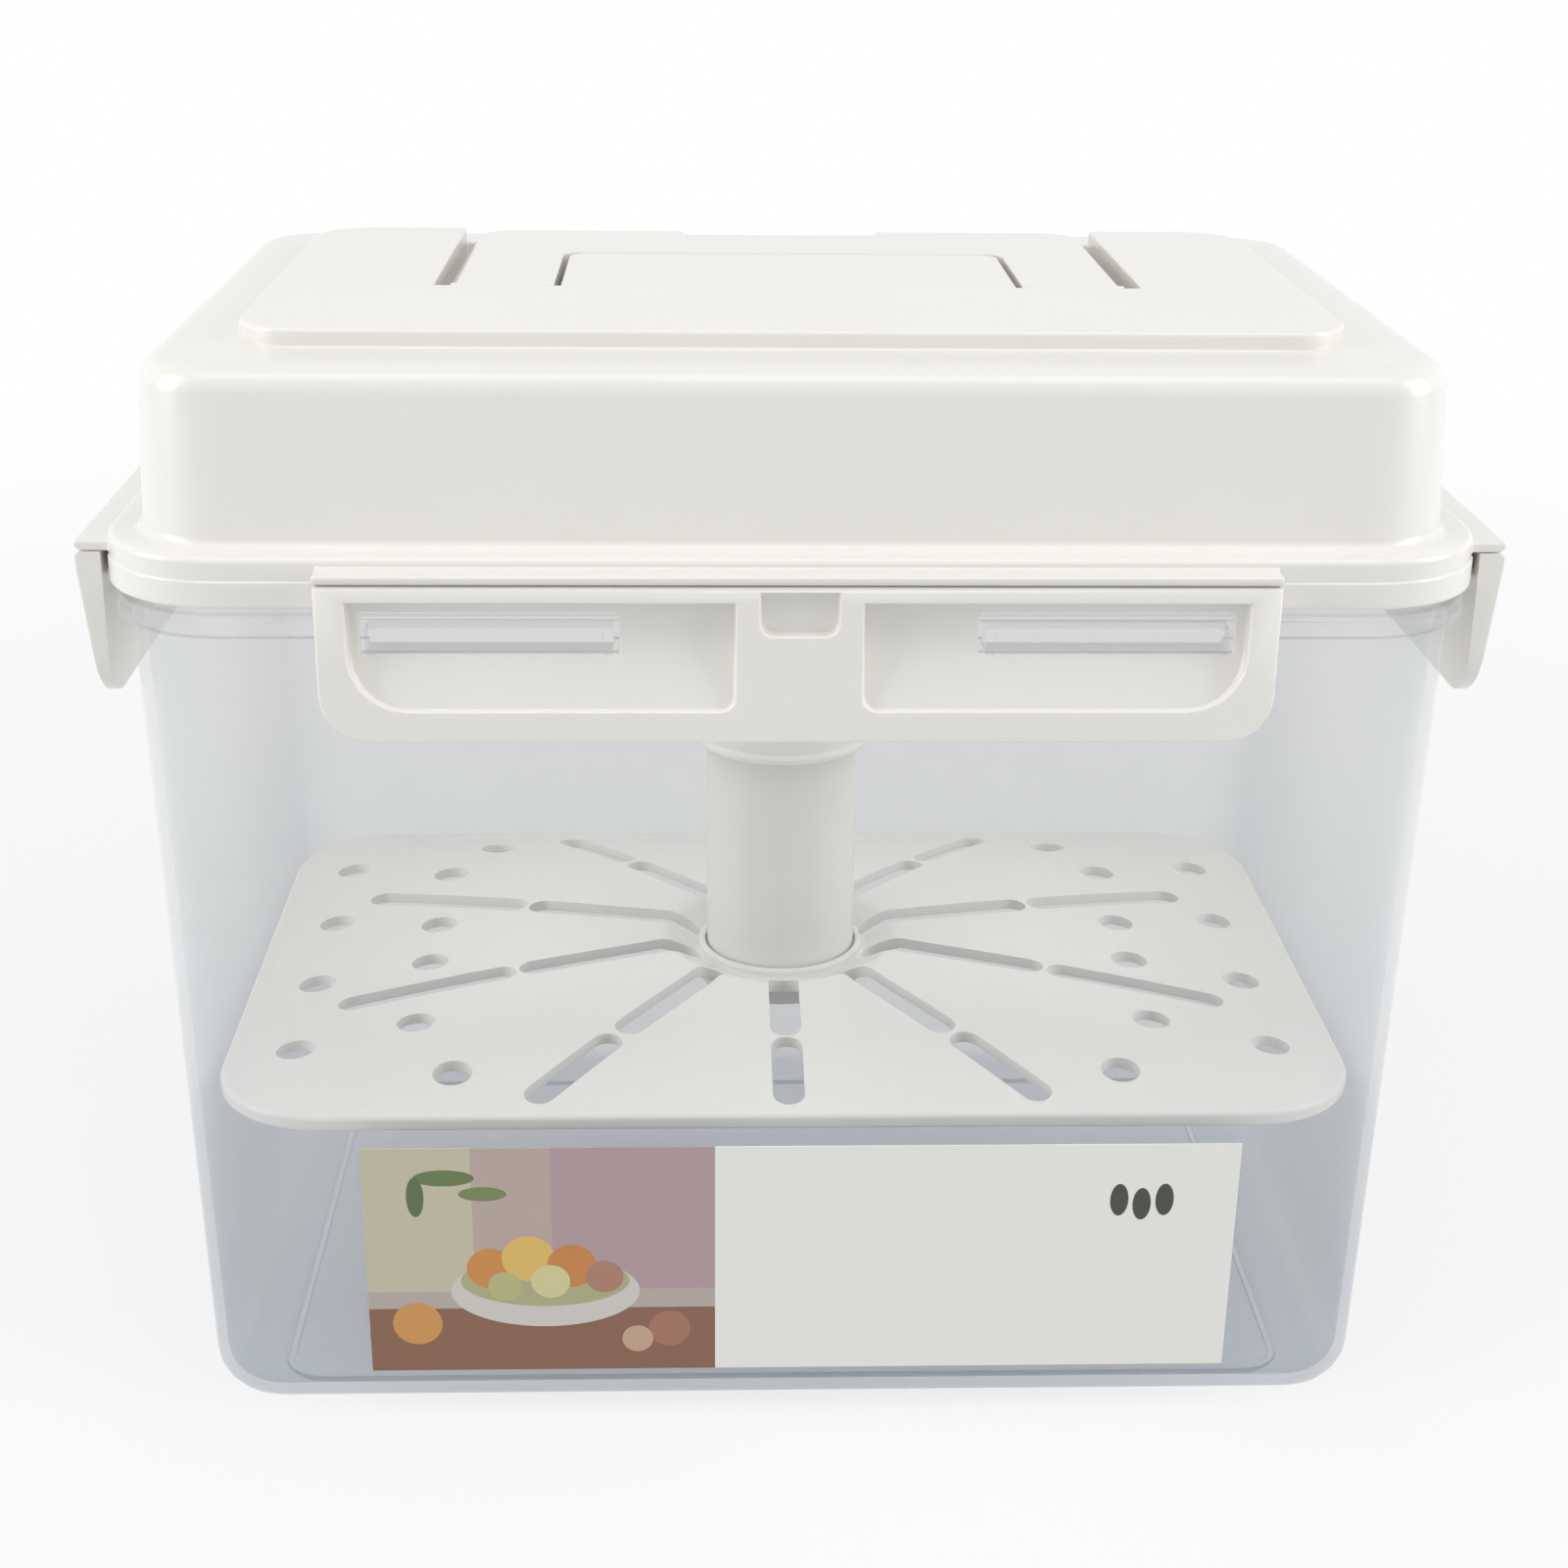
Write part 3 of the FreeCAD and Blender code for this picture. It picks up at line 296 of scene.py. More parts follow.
def keep(piece, body, slot, *nodes):
    """Give a piece its finish, its body and the nodes that it stands for."""
    piece.data.materials.clear()
    piece.data.materials.append(finish(slot))
    piece.data.polygons.foreach_set("material_index", [0] * len(piece.data.polygons))
    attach(piece, body)
    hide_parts(*nodes)


# Node helpers

def feed(socket, value):
    """Give an input a plain value, or link it to another node's output."""
    if isinstance(value, bpy.types.NodeSocket):
        socket.id_data.links.new(value, socket)
    else:
        socket.default_value = value


def set_node(node, *given, **named):
    """Set a node's options and inputs: inputs in order, or by name with _ for a space."""
    for key, value in named.items():
        label = key.replace("_", " ")
        if label in node.inputs:
            feed(node.inputs[label], value)
        else:
            setattr(node, key, value)
    for socket, value in zip(node.inputs, given):
        feed(socket, value)
    return node


def add_node(tree, kind, *given, **named):
    """Add a node with its options and inputs."""
    return set_node(tree.nodes.new(kind), *given, **named)


def new_tree(name, *sizes):
    """Start a geometry tree with named inputs; each size is a name, a socket kind and its value."""
    tree = bpy.data.node_groups.new(name, "GeometryNodeTree")
    face = tree.interface
    face.new_socket("Geometry", in_out="INPUT", socket_type="NodeSocketGeometry")
    face.new_socket("Geometry", in_out="OUTPUT", socket_type="NodeSocketGeometry")
    keys = {}
    for label, kind, value in sizes:
        socket = face.new_socket(label, in_out="INPUT", socket_type=f"NodeSocket{kind}")
        keys[label] = socket.identifier
        if value is not None:
            socket.default_value = value
    return tree, tree.nodes.new("NodeGroupInput"), tree.nodes.new("NodeGroupOutput"), keys


def run_tree(thing, tree, keys, values):
    """Give a tree its sizes, run it on an object and keep the plain mesh."""
    work = thing.modifiers.new(tree.name, "NODES")
    work.node_group = tree
    for label, value in values.items():
        work[keys[label]] = value
    return finished(thing)


def end_tree(tree, output, geometry, slot):
    """Close a tree with real instances and a finish."""
    real = add_node(tree, "GeometryNodeRealizeInstances", geometry)
    paint = add_node(tree, "GeometryNodeSetMaterial", Geometry=real.outputs[0],
                     Material=finish(slot))
    feed(output.inputs[0], paint.outputs[0])


def points_object(name, places, turns):
    """Make a point for each copy, with the turn that it takes."""
    points = mesh_from(name, places, [])
    turn = points.data.attributes.new("turn", "FLOAT", "POINT")
    turn.data.foreach_set("value", turns)
    return points


def copies(name, stamp, places, turns, slot):
    """Set a copy of one object at each place, with Geometry Nodes."""
    tree, group_in, group_out, keys = new_tree(name, ("Stamp", "Object", None))
    info = add_node(tree, "GeometryNodeObjectInfo", Object=group_in.outputs["Stamp"])
    turn = add_node(tree, "GeometryNodeInputNamedAttribute", data_type="FLOAT", Name="turn")
    angles = add_node(tree, "ShaderNodeCombineXYZ", Z=turn.outputs["Attribute"])
    instances = add_node(tree, "GeometryNodeInstanceOnPoints", Points=group_in.outputs["Geometry"],
                         Instance=info.outputs["Geometry"], Rotation=angles.outputs[0])
    end_tree(tree, group_out, instances.outputs[0], slot)
    made = run_tree(points_object(name, places, turns), tree, keys, {"Stamp": stamp})
    drop(stamp)
    return made


# Materials

SEAL_GREY, WIRE_GREY, LABEL_WHITE = (0.72, 0.74, 0.74), (0.62, 0.62, 0.62), (0.83, 0.83, 0.81)

# Heights in metres up to which the tub's wall is tinted darker, partly for thicker plastic and partly
# as painted shade, and up to which its foot is veiled more thickly in that painted shade, and the
# share of the veil that light meets on its way through

LOW_TINT_AND_SHADE_TOP, FOOT_TOP, LIGHT_SHARE = 0.13, 0.008, 0.25


def new_material(name):
    """Make a material and give it with its tree and its shader."""
    material = bpy.data.materials.new(name)
    material.use_nodes = True
    return material, material.node_tree, material.node_tree.nodes["Principled BSDF"]


def shade(colour, level=1.0):
    """A colour with full cover, made darker or lighter by a level."""
    return (*[min(1, part * level) for part in colour], 1)


def mixed(tree, share, first, second):
    """Mix two colours by a share."""
    return add_node(tree, "ShaderNodeMix", data_type="RGBA", Factor=share, A=first,
                    B=second).outputs["Result"]


def ranged(tree, value, **ends):
    """Carry a value from one range over to another."""
    return add_node(tree, "ShaderNodeMapRange", Value=value, **ends).outputs["Result"]


def larger(tree, first, second):
    """Take the larger of two values."""
    return add_node(tree, "ShaderNodeMath", first, second, operation="MAXIMUM").outputs[0]


def length_of(tree, vector):
    """The length of a vector."""
    return add_node(tree, "ShaderNodeVectorMath", vector, operation="LENGTH").outputs["Value"]


def object_place(tree):
    """The place on the piece, in metres."""
    return add_node(tree, "ShaderNodeTexCoord").outputs["Object"]


def add_moulding_bump(tree, shader, size, strength, depth):
    """Add the faint waviness of a moulded skin, and give its pattern."""
    noise = add_node(tree, "ShaderNodeTexNoise", Vector=object_place(tree), Scale=size, Detail=1.0,
                     Roughness=0.5)
    waves = noise.outputs["Fac"]
    bump = add_node(tree, "ShaderNodeBump", Strength=strength, Distance=depth, Height=waves)
    set_node(shader, Normal=bump.outputs["Normal"])
    return waves


def white_plastic(name, colour, roughness):
    """Glossy white polypropylene, faintly uneven in tone."""
    material, tree, shader = new_material(name)
    waves = add_moulding_bump(tree, shader, size=28.0, strength=0.1, depth=0.0003)
    set_node(shader, Base_Color=mixed(tree, waves, shade(colour, 0.98), shade(colour, 1.015)),
             Roughness=roughness, Specular_IOR_Level=0.5, Subsurface_Weight=0.12,
             Subsurface_Radius=(0.003, 0.0028, 0.0025), Subsurface_Scale=1.0)
    return material


def clear_plastic(name, colours):
    """Clear polypropylene: a faint veil, darker and denser low down (partly thicker plastic, partly
    painted shade), with a painted pale reflection where the wall is seen edge on.
    """
    material, tree, shader = new_material(name)
    height = add_node(tree, "ShaderNodeSeparateXYZ", object_place(tree)).outputs["Z"]
    # Painted shade: the wall grows darker and denser towards the bottom, partly for thicker plastic.
    rise = ranged(tree, height, interpolation_type="SMOOTHSTEP", From_Max=LOW_TINT_AND_SHADE_TOP)
    facing = add_node(tree, "ShaderNodeLayerWeight", Blend=0.3).outputs["Facing"]
    # Painted reflection: the wall's tint turns pale where it is seen edge on.
    tint_and_edge_reflection = mixed(tree, facing, shade(colours.clear), shade(colours.clear_edge_reflection))
    wall_veil = ranged(tree, rise, To_Min=colours.clear_low_veil, To_Max=colours.clear_veil)
    # The foot is veiled more thickly in the dark low colour: painted shade.
    foot_veil = ranged(tree, height, From_Max=FOOT_TOP, To_Min=colours.clear_foot_veil, To_Max=0.0)
    veil = ranged(tree, facing, To_Min=larger(tree, wall_veil, foot_veil),
                  To_Max=colours.clear_edge_veil)
    rays = add_node(tree, "ShaderNodeLightPath").outputs
    lighting = larger(tree, rays["Is Shadow Ray"], rays["Is Diffuse Ray"])
    alpha = add_node(tree, "ShaderNodeMix", data_type="FLOAT", Factor=lighting, A=veil,
                     B=colours.clear_veil * LIGHT_SHARE)
    set_node(shader, Base_Color=mixed(tree, rise, shade(colours.clear_low_tint_and_shade), tint_and_edge_reflection),
             Alpha=alpha.outputs["Result"], Roughness=0.14, Specular_IOR_Level=0.6)
    return material


def plain(name, colour, roughness, metallic=0.0):
    """One colour all over, with a faintly wavy skin."""
    material, tree, shader = new_material(name)
    add_moulding_bump(tree, shader, size=60.0, strength=0.08, depth=0.0002)
    set_node(shader, Base_Color=shade(colour), Roughness=roughness, Metallic=metallic)
    return material


# The label's print: kind, middle across and up, half width and half height in mm, and colour,
# painted one over another. Places count from the label's middle at the foot of the print.

LABEL_SHAPES = (
    ("box", 0, 24.2, 81, 25, (0.80, 0.80, 0.78)),
    ("box", -48.2, 24.2, 32.2, 25, (0.46, 0.37, 0.34)),
    ("box", -70.5, 32, 10, 20, (0.53, 0.50, 0.37)),
    ("box", -31, 34, 15, 16, (0.42, 0.31, 0.33)),
    ("box", -48.2, 15.5, 32.2, 2.0, (0.45, 0.39, 0.36)),
    ("box", -48.2, 6.8, 32.2, 7.0, (0.24, 0.115, 0.07)),
    ("round", -47.5, 17.5, 17.5, 7.8, (0.60, 0.58, 0.55)),
    ("round", -47.5, 19.8, 15.6, 5.6, (0.40, 0.40, 0.22)),
    ("round", -57.5, 22.5, 4.4, 4.4, (0.58, 0.25, 0.06)),
    ("round", -50.5, 24.6, 4.9, 4.9, (0.70, 0.47, 0.12)),
    ("round", -42.5, 23.0, 4.6, 4.6, (0.55, 0.22, 0.06)),
    ("round", -36.5, 20.6, 3.5, 3.5, (0.40, 0.20, 0.14)),
    ("round", -46.5, 19.6, 3.6, 3.6, (0.62, 0.58, 0.30)),
    ("round", -55.0, 18.6, 3.1, 3.1, (0.45, 0.45, 0.20)),
    ("round", -71.5, 10.5, 4.6, 4.6, (0.60, 0.29, 0.08)),
    ("round", -24.5, 9.0, 3.9, 3.9, (0.36, 0.16, 0.11)),
    ("round", -30.5, 6.8, 2.9, 2.9, (0.52, 0.36, 0.24)),
    ("round", -65.5, 42.0, 5.6, 1.7, (0.13, 0.19, 0.07)),
    ("round", -58.5, 38.6, 4.4, 1.5, (0.17, 0.23, 0.09)),
    ("round", -70.8, 38.0, 1.6, 4.2, (0.10, 0.15, 0.06)),
    ("round", 58.5, 36.5, 1.7, 3.4, (0.05, 0.06, 0.05)),
    ("round", 62.7, 35.6, 1.7, 3.4, (0.05, 0.06, 0.05)),
    ("round", 66.9, 36.5, 1.7, 3.4, (0.05, 0.06, 0.05)),
)


def label_print(name):
    """The label's print: kitchen colours on the left, nearly plain white on the right."""
    material, tree, shader = new_material(name)
    place = object_place(tree)
    layer = shade(LABEL_WHITE)
    for kind, across, up, half_width, half_height, colour in LABEL_SHAPES:
        middle = ((LABEL_MIDDLE + across) * MM, 0, (LABEL_LOW[2] + up) * MM)
        stretch = (1 / (half_width * MM), 0, 1 / (half_height * MM))
        shift = add_node(tree, "ShaderNodeVectorMath", place, middle, operation="SUBTRACT")
        scale = add_node(tree, "ShaderNodeVectorMath", shift.outputs[0], stretch,
                         operation="MULTIPLY")
        if kind == "round":
            reach = length_of(tree, scale.outputs[0])
        else:
            size = add_node(tree, "ShaderNodeVectorMath", scale.outputs[0], operation="ABSOLUTE")
            parts = add_node(tree, "ShaderNodeSeparateXYZ", size.outputs[0]).outputs
            reach = larger(tree, parts["X"], parts["Z"])
        inside = add_node(tree, "ShaderNodeMath", reach, 1.0, operation="LESS_THAN")
        layer = mixed(tree, inside.outputs[0], layer, shade(colour))
    set_node(shader, Base_Color=layer, Roughness=0.35)
    return material


def finish(slot):
    """Give a slot's material, made at its first use."""
    colours = bpy.context.scene.container_colours
    name, make, *values = {
        "white_plastic": ("white_plastic_gloss", white_plastic, colours.white, 0.22),
        "clear_plastic": ("clear_plastic_wall", clear_plastic, colours),
        "seal": ("soft_seal", plain, SEAL_GREY, 0.5),
        "spring_steel": ("spring_wire", plain, WIRE_GREY, 0.3, 1.0),
        "label_film": ("label_print", label_print),
    }[slot]
    return bpy.data.materials.get(name) or make(name, *values)


# Sizes of the moulded pieces, in millimetres, from the frame's boxes

def node_box(node):
    """The low and high corner of a CAD node, in millimetres."""
    return [[part / MM for part in corner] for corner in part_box(node)]


TUB_HIGH = node_box("tub")[1]
LABEL_LOW, LABEL_HIGH = node_box("label")
PLATE_LOW, PLATE_HIGH = node_box("press_plate")
SLEEVE_LOW, SLEEVE_HIGH = node_box("sleeve")
TUBE_LOW, TUBE_HIGH = node_box("inner_tube")
GASKET_LOW, GASKET_HIGH = node_box("gasket")
SPRING_LOW, SPRING_HIGH = node_box("spring")

TUB_TOP = TUB_HIGH[2]
RIM_REACH, LUG_FRONT_REACH, LUG_SIDE_REACH = 2.1, 4.6, 4.0
HALF_X = TUB_HIGH[0] - RIM_REACH - LUG_SIDE_REACH
HALF_Y = TUB_HIGH[1] - RIM_REACH - LUG_FRONT_REACH
TUB_CORNER, DRAFT = 18.0, math.tan(math.radians(1.38))
WALL, FLOOR, FOOT, BASE_ROUND, FLOOR_ROUND, CAP_INSET = 2.0, 3.9, 1.5, 8.0, 5.6, 14.0
FOOT_INSET, FOOT_HALF = 12.3, 1.0
RIM_LOW, RIM_STEP, RIM_HIGH = TUB_TOP - 8.9, TUB_TOP - 6.4, TUB_TOP - 5.0
LUG_LOW, LUG_HEIGHT = RIM_LOW - 1.1, 4.4
LABEL_MIDDLE = (LABEL_LOW[0] + LABEL_HIGH[0]) / 2

# Lugs by how far their middle is from the middle of the side, and their length

LUGS_FRONT, LUGS_SIDE = (50.65, 40.3), (34.0, 27.0)


def lean(height):
    """How far the tub's wall stands in from its top edge at a height."""
    return -(TUB_TOP - height) * DRAFT


def tub_wall():
    """The tub as one closed skin: foot ridge, rounded base, drafted wall, stepped rim, inside."""
    foot_x, foot_y = (half + lean(FOOT) - FOOT_INSET for half in (HALF_X, HALF_Y))
    rings = []
    for across, height in rounded_path(((-FOOT_HALF - 6, FOOT, 0), (-FOOT_HALF, FOOT, 0.4),
                                        (-FOOT_HALF, 0, 0.5), (FOOT_HALF, 0, 0.5),
                                        (FOOT_HALF, FOOT, 0.4), (FOOT_HALF + 1, FOOT, 0))):
        rings.append(rounded_ring(foot_x + across, foot_y + across, BASE_ROUND + across, height))
    outside = rounded_path(((lean(FOOT) - 9.5, FOOT, 0), (lean(FOOT), FOOT, BASE_ROUND),
                            (lean(RIM_LOW), RIM_LOW, 0.5), (RIM_REACH, RIM_LOW, 0.5),
                            (RIM_REACH, RIM_STEP, 0.35), (RIM_REACH - 0.4, RIM_STEP + 0.3, 0.2),
                            (RIM_REACH - 0.4, RIM_HIGH, 0.5), (lean(RIM_HIGH), RIM_HIGH, 0.5),
                            (0, TUB_TOP, 0.6), (-WALL, TUB_TOP, 0.6),
                            (lean(FLOOR) - WALL, FLOOR, FLOOR_ROUND),
                            (lean(FLOOR) - CAP_INSET, FLOOR, 0)), steps=6)
    for across, height in outside:
        rings.append(rounded_ring(HALF_X + across, HALF_Y + across,
                                  TUB_CORNER + max(across, -CAP_INSET), height))
    return joined_rings("tub_wall", rings)


def lug_stamp(length, reach):
    """One lug along X, its outer side towards -Y: a bar with a thicker knob at each end."""
    half, depth = length / 2, reach + RIM_REACH + WALL / 2
    knob, step = 1.6, 0.45
    plan = ((-half, 0), (-half, -depth), (-half + knob, -depth), (-half + knob, step - depth),
            (half - knob, step - depth), (half - knob, -depth), (half, -depth), (half, 0))
    return slab("lug_stamp", plan, "Z", 0, LUG_HEIGHT)


def tub_lugs():
    """The eight lugs, set round the rim with Geometry Nodes."""
    groups = []
    for (place, length), reach, half, turns in (
            (LUGS_FRONT, LUG_FRONT_REACH, HALF_Y, (0, 180)),
            (LUGS_SIDE, LUG_SIDE_REACH, HALF_X, (90, 270))):
        places, angles = [], []
        for turn in turns:
            angle = math.radians(turn)
            root = half - WALL / 2
            for side in (-place, place):
                places.append((side * math.cos(angle) + root * math.sin(angle),
                               side * math.sin(angle) - root * math.cos(angle), LUG_LOW))
                angles.append(angle)
        stamp = lug_stamp(length, reach)
        groups.append(copies(f"lugs_{turns[0]}", stamp, places, angles, "clear_plastic"))
    return groups


# Press plate

PLATE_X, PLATE_Y, PLATE_CORNER = PLATE_HIGH[0], PLATE_HIGH[1], 21.0
PLATE_WALL, BAND, RISE = 2.2, 3.6, 6.3
BAND_TOP, CREST = PLATE_LOW[2] + 3.0, PLATE_LOW[2] + 9.3
DISH_FLOOR = CREST - 3.8
DISH_RADIUS, RING_RADIUS, RING_TOP, SOCKET = 25.0, 16.9, PLATE_LOW[2] + 7.8, 15.2
SIDE_STEPS, DOME_STEPS, CREASE = 14, 12, 5
HOLE_RADIUS, SLOT_HALF = 3.75, 3.0

# Holes by their shares of the plate's half length and half depth, and slots by their angle in
# degrees and the two ends of their middle line, as shares of the half depth

HOLES = ((0.874, 0.637), (0.874, 0.216), (0.667, 0.533), (0.667, 0.135), (0.586, 0.8))
SLOTS = ((16.5, 0.304, 0.775), (16.5, 0.874, 1.317), (52.5, 0.35, 0.73), (52.5, 0.836, 1.125),
         (90.0, 0.36, 0.59), (90.0, 0.684, 0.9))


def fine_ring(half_x, half_y, radius):
    """Points of a rounded rectangle with its sides divided too."""
    coarse = rounded_ring(half_x, half_y, radius, 0)
    count = CORNER_STEPS + 1
    points = []
    for quarter in range(4):
        points += coarse[quarter * count:(quarter + 1) * count]
        here, there = Vector(points[-1]), Vector(coarse[(quarter + 1) * count % len(coarse)])
        points += [tuple(here.lerp(there, step / SIDE_STEPS)) for step in range(1, SIDE_STEPS)]
    return points


def dome_height(x, y, crest):
    """Height of the shallow dome: the lower of two vaults, with the crease between them softened."""
    along, across = (x / (PLATE_X - BAND)) ** 2, (y / (PLATE_Y - BAND)) ** 2
    return crest - RISE * (along ** CREASE + across ** CREASE) ** (1 / CREASE)


def dome_rings(crest, inset):
    """Rings of one skin of the dome, from the dish's rim out to the flat band."""
    field = fine_ring(PLATE_X - BAND - inset, PLATE_Y - BAND - inset, PLATE_CORNER - BAND - inset)
    rings = []
    for step in range(1, DOME_STEPS + 1):
        ring, way = [], step / DOME_STEPS
        for x, y, _ in field:
            share = (DISH_RADIUS / math.hypot(x, y)) * (1 - way) + way
            height = dome_height(x * share, y * share, crest)
            ring.append((x * share, y * share, max(height, crest - RISE)))
        rings.append(ring)
    return rings


def plate_skin():
    """The press plate before its openings: socket, dished hub, dome, flat band and skirt."""
    edge = fine_ring(PLATE_X - BAND, PLATE_Y - BAND, PLATE_CORNER - BAND)
    around = [math.atan2(y, x) for x, y, _ in edge]

    def circle(radius, height):
        return [(radius * math.cos(turn), radius * math.sin(turn), height) for turn in around]

    low, wall, rim = PLATE_LOW[2], PLATE_WALL, CREST - 0.25
    hub = rounded_path(((5, TUBE_LOW[2], 0), (SOCKET, TUBE_LOW[2], 0.3),
                        (SOCKET, RING_TOP - 1.8, 0.2),
                        (SOCKET + 0.35, RING_TOP - 1.6, 0.1), (SOCKET + 0.35, RING_TOP, 0.4),
                        (RING_RADIUS, RING_TOP, 0.7), (RING_RADIUS, DISH_FLOOR, 0.8),
                        (DISH_RADIUS - 2, rim - 0.5, 3.0), (DISH_RADIUS, rim, 0)))
    rings = [circle(radius, height) for radius, height in hub]
    rings += dome_rings(CREST, 0)
    for across, height in rounded_path(((-BAND + 0.8, BAND_TOP, 0), (0, BAND_TOP, 1.0), (0, low, 0.5),
                                        (-wall, low, 0.5), (-wall, BAND_TOP - wall, 0.4),
                                        (-BAND, BAND_TOP - wall, 0)), steps=4):
        rings.append([(x, y, height) for x, y, _ in
                      fine_ring(PLATE_X + across, PLATE_Y + across, PLATE_CORNER + across)])
    rings += reversed(dome_rings(CREST - wall, wall / 2))
    under = rounded_path(((DISH_RADIUS, rim - wall, 0), (RING_RADIUS, DISH_FLOOR - wall, 1.0),
                          (RING_RADIUS, low, 0.5), (5, low, 0)))
    rings += [circle(radius, height) for radius, height in under]
    return joined_rings("press_plate_finished", rings)


def round_end(centre, radius, start, steps=14):
    """Half a circle of a slot's or a hole's plan."""
    turns = [start + math.pi * step / steps for step in range(steps + 1)]
    return [(centre + radius * math.cos(turn), radius * math.sin(turn)) for turn in turns]


def perforations():
    """Cutters for the round holes and the radial slots, set out with Geometry Nodes."""
    through = PLATE_LOW[2] - 2, CREST + 3
    half_turn, quarter_turn = math.pi, math.pi / 2
    hole = round_end(0, HOLE_RADIUS, 0)[:-1] + round_end(0, HOLE_RADIUS, half_turn)[:-1]
    places = [(side_x * PLATE_X * x, side_y * PLATE_Y * y, 0) for x, y in HOLES
              for side_x in (-1, 1) for side_y in (-1, 1)]
    tools = [copies("hole_tools", slab("hole_stamp", hole, "Z", *through), places,
                    [0.0] * len(places), "white_plastic")]
    for number, (angle, start, end) in enumerate(SLOTS):
        plan = (round_end(PLATE_Y * end, SLOT_HALF, -quarter_turn)
                + round_end(PLATE_Y * start, SLOT_HALF, quarter_turn))
        turns = (angle, 180 - angle, 180 + angle, 360 - angle) if angle < 90 else (90, 270)
        tools.append(copies(f"slot_tools_{number}", slab("slot_stamp", plan, "Z", *through),
                            [(0, 0, 0)] * len(turns), [math.radians(turn) for turn in turns],
                            "white_plastic"))
    return tools


# Column and gasket

SLEEVE_BORE, SLEEVE_OUT, LIP_OUT, GUIDE_BORE, GUIDE_LENGTH = 15.9, 17.45, 17.95, 15.25, 18.4
TUBE_BORE, TUBE_OUT, STOP_OUT, STOP_THICK = 13.55, 15.15, 15.6, 1.5
SPRING_RADIUS, WIRE_RADIUS, SPRING_TURNS = 12.0, 0.8, 9.0


def sleeve_tube():
    """Outer tube of the column with its guide and rolled lip."""
    low, top = SLEEVE_LOW[2], SLEEVE_HIGH[2]
    seam, guide = low + 6, low + GUIDE_LENGTH
    return turned("sleeve_finished", (
        (GUIDE_BORE, seam, 0), (GUIDE_BORE, low, 0.4), (LIP_OUT, low, 0.45), (LIP_OUT, low + 1.2, 0.3),
        (SLEEVE_OUT, low + 2.0, 0.3), (SLEEVE_OUT, top, 0.2), (SLEEVE_BORE, top, 0.2),
        (SLEEVE_BORE, guide, 0.2), (GUIDE_BORE, guide, 0.2), (GUIDE_BORE, seam, 0)))


def inner_tube():
    """Inner tube of the column with its stop flange."""
    low, top = TUBE_LOW[2], TUBE_HIGH[2]
    seam, stop = low + 6, top - STOP_THICK
    return turned("inner_tube_finished", (
        (TUBE_BORE, seam, 0), (TUBE_BORE, low, 0.3), (TUBE_OUT, low, 0.3), (TUBE_OUT, stop, 0.1),
        (STOP_OUT, stop, 0.15), (STOP_OUT, top, 0.3), (TUBE_BORE, top, 0.3), (TUBE_BORE, seam, 0)))


def gasket_ring():
    """Soft ring in the lid, with a groove between its two lips."""
    low, top = GASKET_LOW[2], GASKET_HIGH[2]
    return swept("gasket_finished", HALF_X, HALF_Y, TUB_CORNER,
                 ((-2.4, low + 1, 0), (-2.4, low, 0.35), (-1.4, low, 0.2), (-1.1, low + 0.35, 0.2),
                  (-0.5, low + 0.35, 0.2), (-0.2, low, 0.2), (0.8, low, 0.35), (0.8, top, 0.35),
                  (-2.4, top, 0.35), (-2.4, low + 1, 0)))


def coil_spring():
    """Steel spring: a circle carried along a spiral, with Geometry Nodes."""
    low, high = SPRING_LOW[2] + WIRE_RADIUS, SPRING_HIGH[2] - WIRE_RADIUS
    values = {"Turns": SPRING_TURNS, "Coil radius": (SPRING_RADIUS - WIRE_RADIUS) * MM,
              "Wire radius": WIRE_RADIUS * MM, "Height": (high - low) * MM}
    tree, group_in, group_out, keys = new_tree(
        "coil_spring", *((label, "Float", value) for label, value in values.items()))
    sizes = group_in.outputs
    spiral = add_node(tree, "GeometryNodeCurveSpiral", Resolution=40, Rotations=sizes["Turns"],
                      Start_Radius=sizes["Coil radius"], End_Radius=sizes["Coil radius"],
                      Height=sizes["Height"])
    section = add_node(tree, "GeometryNodeCurvePrimitiveCircle", Resolution=12,
                       Radius=sizes["Wire radius"])
    skin = add_node(tree, "GeometryNodeCurveToMesh", Curve=spiral.outputs["Curve"],
                    Profile_Curve=section.outputs["Curve"], Fill_Caps=True)
    lift = add_node(tree, "GeometryNodeTransform", Geometry=skin.outputs["Mesh"],
                    Translation=(0, 0, low * MM))
    smooth = add_node(tree, "GeometryNodeSetShadeSmooth", Geometry=lift.outputs[0])
    end_tree(tree, group_out, smooth.outputs[0], "spring_steel")
    base = new_object("spring_finished", bpy.data.meshes.new("spring_finished"))
    return run_tree(base, tree, keys, values)


# Lid, handle and latches

LID_HIGH = node_box("lid")[1]
LATCH_LOW, LATCH_HIGH = node_box("front_latch")
PANEL_TOP = LID_HIGH[2]
HOOD_TOP, FLANGE_TOP = PANEL_TOP - 3.2, TUB_TOP + 5.2
HOOD_X, HOOD_Y, HOOD_CORNER = HALF_X - 2.9, HALF_Y - 2.9, 16.0
HOOD_LEAN, LID_WALL = math.tan(math.radians(3)), 2.2
PANEL_X, PANEL_Y, PANEL_CORNER = HOOD_X - 15.9, HOOD_Y - 18.3, 11.0
PIVOT_BACK, PIVOT_HEIGHT = -10.1, PANEL_TOP - 2.7
RECESS_X, RECESS_FRONT, RECESS_FLOOR = 65.0, -13.2, PANEL_TOP - 5.7
ISLAND_X, ISLAND_BACK = 41.8, 23.3
FLANGE_REACH, SKIRT_REACH, CHANNEL_IN, CHANNEL_OUT = 5.8, 6.1, -0.1, 4.3
